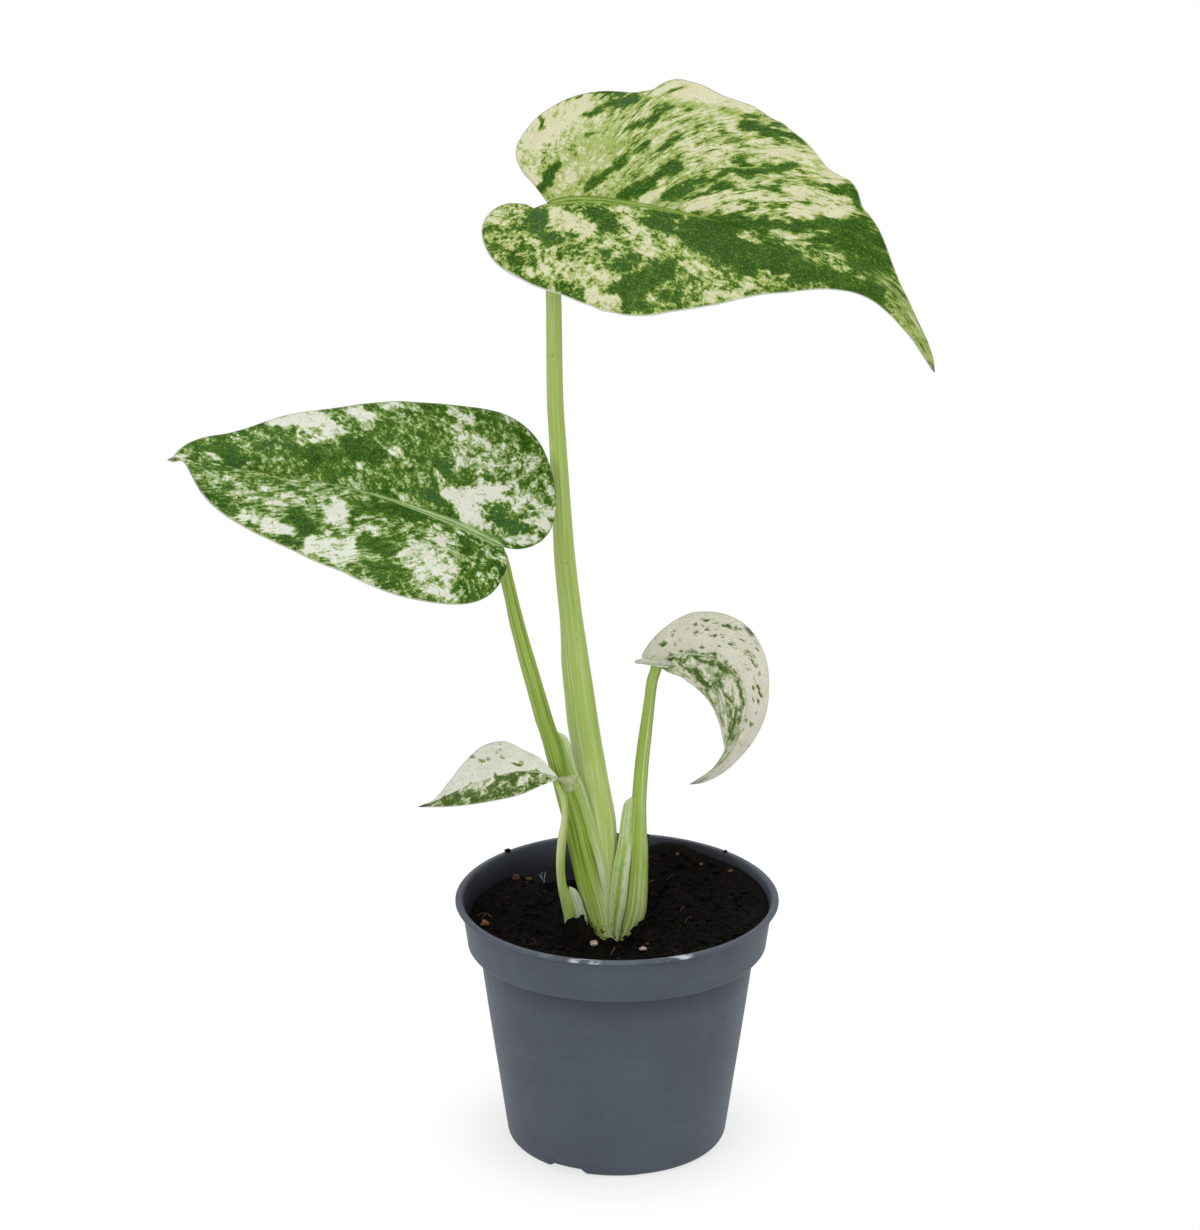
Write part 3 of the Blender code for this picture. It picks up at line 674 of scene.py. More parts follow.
def soil_height(x, y):
    """Height of the potting mix: low round the stalks, high at the back right, and lumpy."""
    angle = math.degrees(math.atan2(x, -y)) % 360.0
    edge = float(np.interp(angle, *zip(*SOIL_EDGE)))
    out = min(math.hypot(x, y) / SOIL_REACH, 1.0)
    rise = 1.1 * ripple(x, y, 11.0, 0.3) + 0.5 * ripple(x, y, 5.0, 7.1)
    bank = 1.5 * math.exp(-((angle - 149.0) / 15.0) ** 2) * float(soft_step(0.84, 1.0, out))
    heaped = sum(high * math.exp(-((x - at_x) ** 2 + (y - at_y) ** 2) / wide ** 2)
                 for at_x, at_y, wide, high in HEAPS)
    return SOIL_LEVEL + (edge - SOIL_LEVEL) * out ** 1.3 + rise * (1.0 - out ** 6) + heaped + bank


def crumbly(x, y):
    """Small lumps on top of the soil's own height."""
    return 0.9 * ripple(x, y, 2.6, 3.0) + 0.55 * ripple(x, y, 1.2, 5.0) + 0.3 * ripple(x, y, 0.6, 9.0)


def build_soil():
    turns = even_turns(SOIL_SIDES)
    stack = [ring(radius, height, turns) for radius, height in SOIL_SIDE]
    for k in range(SOIL_RINGS):
        share = 1.0 - k / SOIL_RINGS
        row = []
        for turn in turns:
            x, y = math.sin(turn), -math.cos(turn)
            rim = soil_height(SOIL_REACH * x, SOIL_REACH * y)
            reach = np.interp(rim, (79.4, 92.6, 96.2), (54.1, 56.2, 57.2)) - 0.12
            x, y = x * reach * share, y * reach * share
            row.append((x, y, soil_height(x, y) + crumbly(x, y) * (1.0 - share ** 12)))
        stack.append(np.array(row))
    points, faces = closed_rings(stack)
    points[-1] = (0, 0, soil_height(0, 0))
    soil = make_piece("potting_mix", points, faces, [SOIL], "potting_mix", 180.0)
    brown = band(points[:, 0], 30, 11.0) * band(points[:, 1], -30, 9.0)
    paint(soil, "tone", 0.34 + 0.16 * lumps(points, 14.0, 2.0) + 0.3 * brown)
    return soil


def lump_shape(chance, detail=1):
    """A small knobbly ball of radius 1."""
    ball = bmesh.new()
    bmesh.ops.create_icosphere(ball, subdivisions=detail, radius=1.0)
    shift = Vector([chance.uniform(-9, 9) for _ in range(3)])
    points = [(vert.co * (1.0 + 0.55 * noise.noise(vert.co * 1.6 + shift)))[:] for vert in ball.verts]
    faces = [[vert.index for vert in face.verts] for face in ball.faces]
    ball.free()
    return np.array(points), faces


def build_crumbs():
    """Loose crumbs lying on the soil, and clods against the stalks."""
    chance = random.Random(11)
    shapes = [lump_shape(chance) for _ in range(CRUMB_SHAPES)]
    crumbs, tones = [], []

    def drop(x, y, size, tone, lift=0.25):
        points, faces = shapes[chance.randrange(CRUMB_SHAPES)]
        turn = chance.uniform(0, TURN)
        spin = np.array([[math.cos(turn), -math.sin(turn), 0], [math.sin(turn), math.cos(turn), 0],
                         [0, 0, 1]])
        scale = size * np.array([chance.uniform(0.7, 1.3), chance.uniform(0.6, 1.2),
                                 chance.uniform(0.5, 0.9)])
        height = soil_height(x, y) + crumbly(x, y)
        crumbs.append(((points * scale) @ spin.T + (x, y, height + lift * size), faces))
        tones.extend([tone] * len(points))

    for _ in range(CRUMBS):
        reach = CRUMB_REACH * math.sqrt(chance.random())
        turn = chance.uniform(0, TURN)
        size = min(0.28 * math.exp(abs(chance.gauss(0.0, 0.75))), 2.1)
        if reach + size > CRUMB_REACH + 0.4:
            continue
        tone = (chance.choice((0.15, 0.2, 0.25, 0.3, 0.4, 0.5, 0.62)) if size > 0.5
                else chance.uniform(0.15, 0.8))
        drop(reach * math.sin(turn), -reach * math.cos(turn), size, tone)
    for x, y, size in CLODS:
        for _ in range(3):
            drop(x + chance.uniform(-0.9, 0.9), y + chance.uniform(-0.7, 0.7),
                 size * chance.uniform(0.6, 1.0), chance.uniform(0.1, 0.3), 0.5)
    paint(make_piece("soil_crumbs", *join(crumbs), [SOIL], "potting_mix", 35.0), "tone", tones)


def thin_tube(path, radius, sides=7, count=14):
    """Points and faces of a fibre along a path, thinner towards both ends."""
    path = smooth_curve(path, count)
    ahead = unit(np.gradient(path, axis=0))
    side = unit(np.cross(ahead, (0.13, 0.07, 1.0)))
    over = np.cross(side, ahead)
    turns = even_turns(sides)
    taper = np.minimum(1.0, np.minimum(np.arange(count), count - 1 - np.arange(count)) / 3.0 + 0.25)
    return closed_rings([
        path[i] + radius * taper[i] * (np.outer(np.cos(turns), side[i]) + np.outer(np.sin(turns), over[i]))
        for i in range(count)])


def build_fibres(name, paths, finish):
    """Root fibres as one piece, from paths and half thicknesses."""
    points, faces = join([thin_tube(path, radius) for path, radius in paths])
    make_piece(name, points, faces, [finish], "potting_mix", 80.0)


def strewn_fibres():
    """Paths of short fibres strewn over the soil."""
    chance = random.Random(23)
    paths = []
    for _ in range(STREWN_FIBRES):
        reach, turn = 50.0 * math.sqrt(chance.random()), chance.uniform(0, TURN)
        x, y = reach * math.sin(turn), -reach * math.cos(turn)
        heading, step = chance.uniform(0, TURN), chance.uniform(0.5, 1.5)
        path = []
        for k in range(5):
            if math.hypot(x, y) < 52.5:
                arch = 0.5 * math.sin(math.pi * k / 4.0) * step
                path.append((x, y, soil_height(x, y) + max(crumbly(x, y), 0.0) + 0.2 + arch))
            heading += chance.uniform(-0.8, 0.8)
            x, y = x + step * math.cos(heading), y + step * math.sin(heading)
        if len(path) > 2:
            paths.append((path, chance.uniform(0.05, 0.09)))
    return paths


# Fibres that stand out on the soil and on the inner wall: each a path and half its thickness.
SOIL_FIBRES = ((((-52, 4, 86.3), (-50.2, 4.8, 87.2), (-48.2, 4.4, 87), (-46.4, 3.2, 86)), 0.18),
    (((-50.8, 1, 86), (-49.6, 2.2, 87.3), (-48.8, 3.9, 87.4)), 0.14),
    (((-2.4, -25.6, 83.4), (-1.8, -25, 84.8), (-1, -24.8, 85.8), (-1.4, -24, 86.4)), 0.2),
    (((11.4, 27, 89), (12.6, 28, 90.2), (13.8, 29.4, 90), (14.4, 31, 89.2)), 0.15),
    (((25.4, -2, 86.6), (26.4, -1.2, 88), (27.8, -1.6, 88.3)), 0.14),
    (((-17.9, -9.6, 84.8), (-17, -9, 86.2), (-15.6, -9.4, 86.6), (-14.6, -9, 86)), 0.15))
WALL_FIBRES = ((((-29.8, 46.5, 85.4), (-28.9, 46.7, 84), (-28.2, 46.8, 82.8), (-27.6, 46.9, 81.2)), 0.16),
    (((-28.4, 47.2, 85.9), (-28.7, 46.9, 84.8), (-28.5, 46.9, 83.2)), 0.13),
    (((-26.9, 48.1, 85.9), (-27.5, 47.5, 84.2), (-27.6, 47, 81.6)), 0.15))


# ================================================================ stalks

STALK_SIDES = 72
# x, y, z of the centre line, half the width and half the depth, from the soil to the leaf.
MAIN_PATH = ((-4.5, -4.6, 71.5, 4.09, 4.6), (-3.9, -4.7, 80.5, 5.01, 5), (-4.5, -4.7, 92.6, 5.56, 5.1),
    (-5.2, -4.6, 104.6, 5.91, 5.1), (-6.2, -4.3, 116.5, 6.36, 5.1), (-7.2, -3.5, 128.1, 6.68, 5),
    (-8.3, -2.9, 135.8, 6.43, 4.9), (-9.5, -2.2, 143.4, 6.2, 4.7), (-10.6, -1.2, 150.9, 6.02, 4.6),
    (-11.6, -0.9, 158.6, 5.71, 4.5), (-12.7, -0.6, 166.3, 5.67, 4.4), (-13.6, -0.3, 174, 5.48, 4.3),
    (-14.5, 0, 181.7, 5.29, 4.2), (-15.4, 0, 189.5, 5.04, 4.1), (-16, 0, 197.2, 4.58, 4),
    (-16.7, 0, 204.9, 4.17, 3.9), (-17.5, 0, 212.6, 4.02, 3.7), (-18.3, 0, 220.3, 3.91, 3.6),
    (-19, 0, 228, 3.83, 3.5), (-19.5, 0, 235.6, 3.66, 3.4), (-21.5, 0, 273.3, 3.04, 3.05),
    (-22.3, 0, 288.2, 2.94, 2.95), (-22.7, 0, 325.1, 2.74, 2.7), (-23.1, 0, 339.7, 2.64, 2.65),
    (-23.5, 2.3, 346, 2.5, 2.5), (-23.7, 3.4, 352, 2.2, 2.2), (-23.9, 3.4, 357, 1.3, 1.3))
LEFT_PATH = ((-3.5, -5.5, 74.8, 2.42, 3), (-3.7, -5.8, 80.6, 4.08, 3.6), (-4.9, -6.2, 85.6, 4.54, 3.8),
    (-7.2, -6.6, 95.4, 5.46, 3.7), (-9.6, -7, 104.8, 5.44, 3.6), (-12.5, -7.6, 117.4, 5.06, 3.5),
    (-15.5, -8.4, 131.3, 4.77, 3.3), (-18.6, -9.6, 142.4, 4.2, 3.1), (-21.4, -11.2, 151.7, 3.37, 3),
    (-22.9, -13, 158.6, 3.33, 2.9), (-23.9, -14.2, 163, 3.21, 2.8), (-24.7, -15.2, 166.1, 3.19, 2.7),
    (-25.5, -16.2, 169.2, 3.08, 2.7), (-26.5, -17.4, 172.8, 3.16, 2.6), (-28.5, -19.8, 181.4, 3.06, 2.55),
    (-30.5, -21.9, 189.9, 2.96, 2.5), (-32.5, -23.8, 198.2, 2.87, 2.45), (-34.4, -25.6, 206.5, 2.68, 2.4),
    (-36.2, -27.2, 214.6, 2.58, 2.3), (-37.7, -28.5, 222.6, 2.35, 2.25), (-39.3, -29.6, 230.5, 2.3, 2.2),
    (-40.7, -30.4, 237.6, 2.21, 2.1), (-42.2, -31.5, 244.3, 1.59, 1.5))
LEFT_WING = ((-21.9, -15.6, 167.4, 1.09, 0.4), (-20.3, -14.4, 163.5, 2.36, 0.45),
    (-19.2, -13.2, 158.7, 2.73, 0.5), (-17.5, -11.4, 151.7, 2.64, 0.5), (-15.7, -10.6, 147.1, 2.28, 0.5),
    (-13.8, -10.2, 142.2, 2.38, 0.5), (-11.8, -9.8, 135.4, 2.2, 0.5), (-9.8, -9.6, 128.6, 2.26, 0.5),
    (-8.2, -9.8, 122.7, 1.98, 0.5), (-6.7, -10, 116.8, 1.84, 0.5), (-5.5, -10, 110.2, 1.53, 0.48),
    (-4.6, -9.6, 103.8, 1.25, 0.44), (-3.8, -8.8, 97.6, 0.95, 0.4), (-3.3, -7.8, 92, 0.7, 0.35))
RIGHT_PATH = ((2, -5.5, 74.8, 1.67, 2.8), (2.3, -5.7, 80.9, 2.88, 3.4), (4.1, -6, 86.7, 4.35, 3.6),
    (5.9, -6.5, 93.4, 4.81, 3.7), (6.9, -6.6, 100.6, 4.34, 3.7), (7.4, -6.2, 108.5, 3.97, 3.6),
    (7.8, -5.8, 116.7, 3.59, 3.4), (7.8, -5.2, 124.4, 3.09, 3.1), (7.9, -4.6, 130.3, 2.81, 2.9),
    (8, -4.2, 134.3, 2.66, 2.7), (8.1, -3.7, 137.3, 2.61, 2.5), (8.4, -3.1, 141.8, 2.57, 2.4),
    (9, -2, 149.6, 2.49, 2.2), (10, -1.2, 158.7, 2.38, 2.1), (10.9, -0.6, 166.3, 2.19, 2.05),
    (11.8, 0, 173.9, 2.01, 1.95), (12.8, 0.8, 181.4, 2.01, 1.9), (13.9, 1.7, 184.6, 2.02, 1.75),
    (14.3, 1.4, 186.6, 2.25, 1.6), (14.5, 1.2, 188.2, 2.05, 1))
RIGHT_WING = ((5.6, -4.4, 137.5, 1.28, 0.4), (4.6, -5.2, 135.3, 1.96, 0.45), (4, -5.8, 131, 2.39, 0.5),
    (3.4, -6.8, 125.1, 2.61, 0.5), (2.6, -8.2, 118.1, 2.81, 0.55), (1.6, -9.2, 111.7, 3.13, 0.55),
    (0.8, -9.9, 104.8, 3.22, 0.55), (0, -10.2, 97, 3.23, 0.55), (-0.8, -10, 90.1, 2.59, 0.5),
    (-1.1, -9.2, 80.4, 1.48, 0.4))
SMALL_PATH = ((-16.7, -8.6, 80.2, 2.22, 2.1), (-16.9, -8.8, 85.5, 2.22, 2.2), (-17.2, -9.4, 91.4, 2.4, 2.3),
    (-18.2, -10.2, 97.4, 2.43, 2.2), (-20, -11.6, 104, 1.75, 1.9), (-20.7, -12.8, 110.1, 1.62, 1.7),
    (-20.8, -14, 116.1, 1.65, 1.6), (-20.2, -15, 124.9, 1.65, 1.5), (-19.1, -16, 134, 1.28, 1.35),
    (-19.4, -17.2, 141.5, 1.27, 1.3), (-21, -17.7, 147.2, 1.36, 1.2), (-22.2, -18, 149.6, 1.05, 0.95),
    (-22.1, -18.5, 150.7, 0.55, 0.5))
SMALL_WING = ((-17.7, -10.6, 104.5, 0.74, 0.35), (-16.5, -10.8, 102.4, 1.66, 0.4),
    (-15.2, -10.8, 98.8, 2.21, 0.45), (-14.2, -10.8, 95.2, 2.12, 0.45), (-13.3, -10.6, 91.9, 2.22, 0.45),
    (-13, -10.4, 87, 2.22, 0.45), (-13.2, -10, 82, 1.67, 0.4))


def stalk_rings(path, stations, ridges, depth, seed, twist):
    """Rings along a stalk with shallow lengthwise ridges, and each point's place on its skin and angle."""
    line = smooth_curve(path, stations)
    centres = line[:, :3]
    reach = stations // 12
    padded = np.vstack([centres[:1].repeat(reach, 0), centres, centres[-1:].repeat(reach, 0)])
    ahead = unit(padded[2 * reach:] - padded[:-2 * reach])
    across = unit(np.array([1.0, 0, 0]) - ahead * ahead[:, :1])
    deep = np.cross(ahead, across)
    turned, sunk = math.cos(twist), math.sin(twist)
    across, deep = across * turned + deep * sunk, deep * turned - across * sunk
    turns = even_turns(STALK_SIDES)
    chance = random.Random(seed)
    waves = [(ridges + chance.randint(-3, 5), chance.uniform(0, 6.28), chance.uniform(0.4, 1.0))
             for _ in range(4)]
    relief = sum(size * np.cos(count * turns + start) for count, start, size in waves) / 2.2 * depth
    at = np.arange(stations)
    end = np.minimum(1.0, np.minimum(at / 6.0, (stations - 1 - at) / 5.0))
    close = np.sqrt(np.maximum(1.0 - (1.0 - end) ** 2, 0.03))[:, None]
    wide = np.cos(turns) * ((line[:, 3:4] + relief) * close)
    thick = np.sin(turns) * ((line[:, 4:5] + relief) * close)
    rings = centres[:, None] + across[:, None] * wide[..., None] + deep[:, None] * thick[..., None]
    girth = 0.85 * line[:, 3].max()
    places = np.column_stack([np.tile(turns * girth, stations), path_length(centres).repeat(STALK_SIDES)])
    return rings, places, np.tile(turns, stations)


def build_stalk(name, node, path, stations, finish, tone_at, ridges, depth, seed, twist=0.0, flecks=0.0):
    rings, places, turns = stalk_rings(path, stations, ridges, depth, seed, math.radians(twist))
    points, faces = closed_rings(rings)
    stalk = make_piece(name, points, faces, [finish], "leaf_stalk", 60.0)
    lay_out(stalk, "skin_map", np.vstack([places, places[:1], places[-1:]]))
    tone = tone_at(np.cos(turns), points[:-2, 2], turns)
    paint(stalk, "tone", np.concatenate([tone, tone[:1], tone[-1:]]))
    paint(stalk, "dirt", soft_step(100.0, 84.0, points[:, 2]) * 0.62)
    paint(stalk, "flecks", np.full(len(points), flecks))
    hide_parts(node)


# How light each stalk is. Across runs from -1 at its left to 1 at its right, and height is in millimetres.

def main_tone(across, height, turn):
    """Pale towards the left, with one clear pale line and a thin darker edge on each side."""
    lines = bands(across, (0.20, 0.12, 0.05), (-0.12, 0.24, 0.04), (0.12, -0.36, 0.04), (-0.12, -0.5, 0.03),
                  (-0.08, -0.1, 0.03)) * (np.sin(turn) < 0.3)
    tone = 0.52 + 0.10 * soft_step(-0.1, -0.7, across) - 0.06 * soft_step(0.3, 0.9, across) + lines
    # Lighter low down and towards the upper left: painted light that offsets the shade cast by the stalks and
    # sheaths beside it.
    tone = tone + 0.12 * soft_step(170.0, 145.0, height) + 0.12 * soft_step(120.0, 98.0, height)
    tone = tone + 0.14 * soft_step(0.1, -0.6, across) * soft_step(175.0, 150.0, height)
    return tone - 0.12 * soft_step(-0.95, -1.0, across) - 0.12 * soft_step(0.94, 1.0, across)


def left_tone(across, height, turn):
    """Deep green with long pale lines, lighter near the soil."""
    low, foot = soft_step(152.0, 140.0, height), soft_step(120.0, 96.0, height)
    upper = 0.34 + 0.10 * soft_step(172.0, 205.0, height) + bands(
        across, (-0.20, -0.34, 0.05), (0.36, 0.02, 0.045), (0.24, -0.56, 0.04), (0.20, 0.24, 0.03),
        (-0.22, 0.66, 0.16))
    lower = 0.36 + bands(across, (0.40, -0.60, 0.045), (0.36, 0.22, 0.05), (-0.14, 0.62, 0.16),
                         (0.20, -0.3, 0.035), (-0.14, -0.1, 0.05), (0.16, 0.0, 0.03))
    # The right side low down is painted lighter: painted light that offsets the shade in the crease beside
    # the sheath.
    tone = upper + (lower - upper) * low + 0.22 * soft_step(0.55, 0.85, across) * low
    pale = 0.80 + 0.10 * band(across, -0.45, 0.08) + 0.16 * soft_step(0.1, 0.6, across)
    return tone + (pale - tone) * 0.8 * foot - (0.22 + 0.1 * foot) * soft_step(-0.80, -1.0, across)


def left_wing_tone(across, height, turn):
    """Green beside the stalk and pale at the margin: clear at the top, two soft streaks lower down."""
    upper = 0.16 + 0.70 * soft_step(-0.15, 0.5, across) - 0.25 * soft_step(0.86, 1.0, across)
    lower = (0.44 + bands(across, (0.24, -0.05, 0.14), (0.34, 0.62, 0.22))
             - 0.06 * soft_step(-0.4, -0.9, across))
    tone = lower + (upper - lower) * soft_step(147.0, 158.0, height)
    # The sheath is pale at its foot, and is painted paler still: painted light that offsets the shade low
    # down between the stalks.
    return tone + (0.92 - tone) * 0.8 * soft_step(126.0, 106.0, height)


def right_tone(across, height, turn):
    """Green on the left and pale on the right below the sheath's top, plainer above it."""
    low = 0.42 + 0.34 * soft_step(0.02, 0.14, across) * soft_step(0.84, 0.68, across)
    low = low + 0.16 * soft_step(-0.3, -0.7, across) + bands(across, (-0.12, -0.45, 0.05), (0.16, -0.2, 0.05),
                                                             (-0.10, 0.4, 0.04))
    high = 0.54 + 0.24 * band(across, 0.35, 0.26) - 0.35 * soft_step(0.85, 1.0, np.abs(across))
    tone = high + (low - high) * soft_step(137.0, 130.0, height) + 0.22 * soft_step(116.0, 98.0, height)
    return tone - 0.20 * soft_step(0.88, 1.0, across)


def right_wing_tone(across, height, turn):
    """A clear margin, a green band, then the bright band where the sheath meets its stalk."""
    upper = 0.80 - 0.50 * soft_step(0.35, 0.9, across) - 0.10 * band(across, -0.1, 0.08)
    lower = 0.72 - 0.52 * band(across, -0.02, 0.26) + 0.28 * soft_step(0.24, 0.40, across)
    lower = lower - 0.22 * soft_step(0.72, 0.90, across)
    tone = upper + (lower - upper) * soft_step(126.0, 116.0, height)
    return tone - 0.25 * soft_step(-0.93, -1.0, across)


def small_tone(across, height, turn):
    tone = 0.78 - 0.46 * soft_step(-0.1, 0.9, across) - 0.20 * soft_step(140.0, 150.0, height)
    return tone - 0.30 * soft_step(-0.2, 0.6, across) * soft_step(101.0, 94.0, height)


def small_wing_tone(across, height, turn):
    return 0.62 + 0.30 * band(across, 0.2, 0.5) - 0.3 * soft_step(-0.3, -0.9, across)


# ================================================================ leaves

VEIN_SLANT = 3.4  # how strongly the veins lean towards the tip
VEIN_BOW = 0.16
NOTCH_WAY = np.array([0.0, -0.45, -0.9])  # the way a front lobe drops beside its notch
LEAN = 1.3  # the leaves lean back, so a patch is shorter in z than along the surface
MIDRIB_POINTS = 500
MARGIN_POINTS = 700
VEIN_WAVES = 11  # veins that show as low waves, on each half
END_LIFT = 0.12  # half the blade's thickness at its two ends
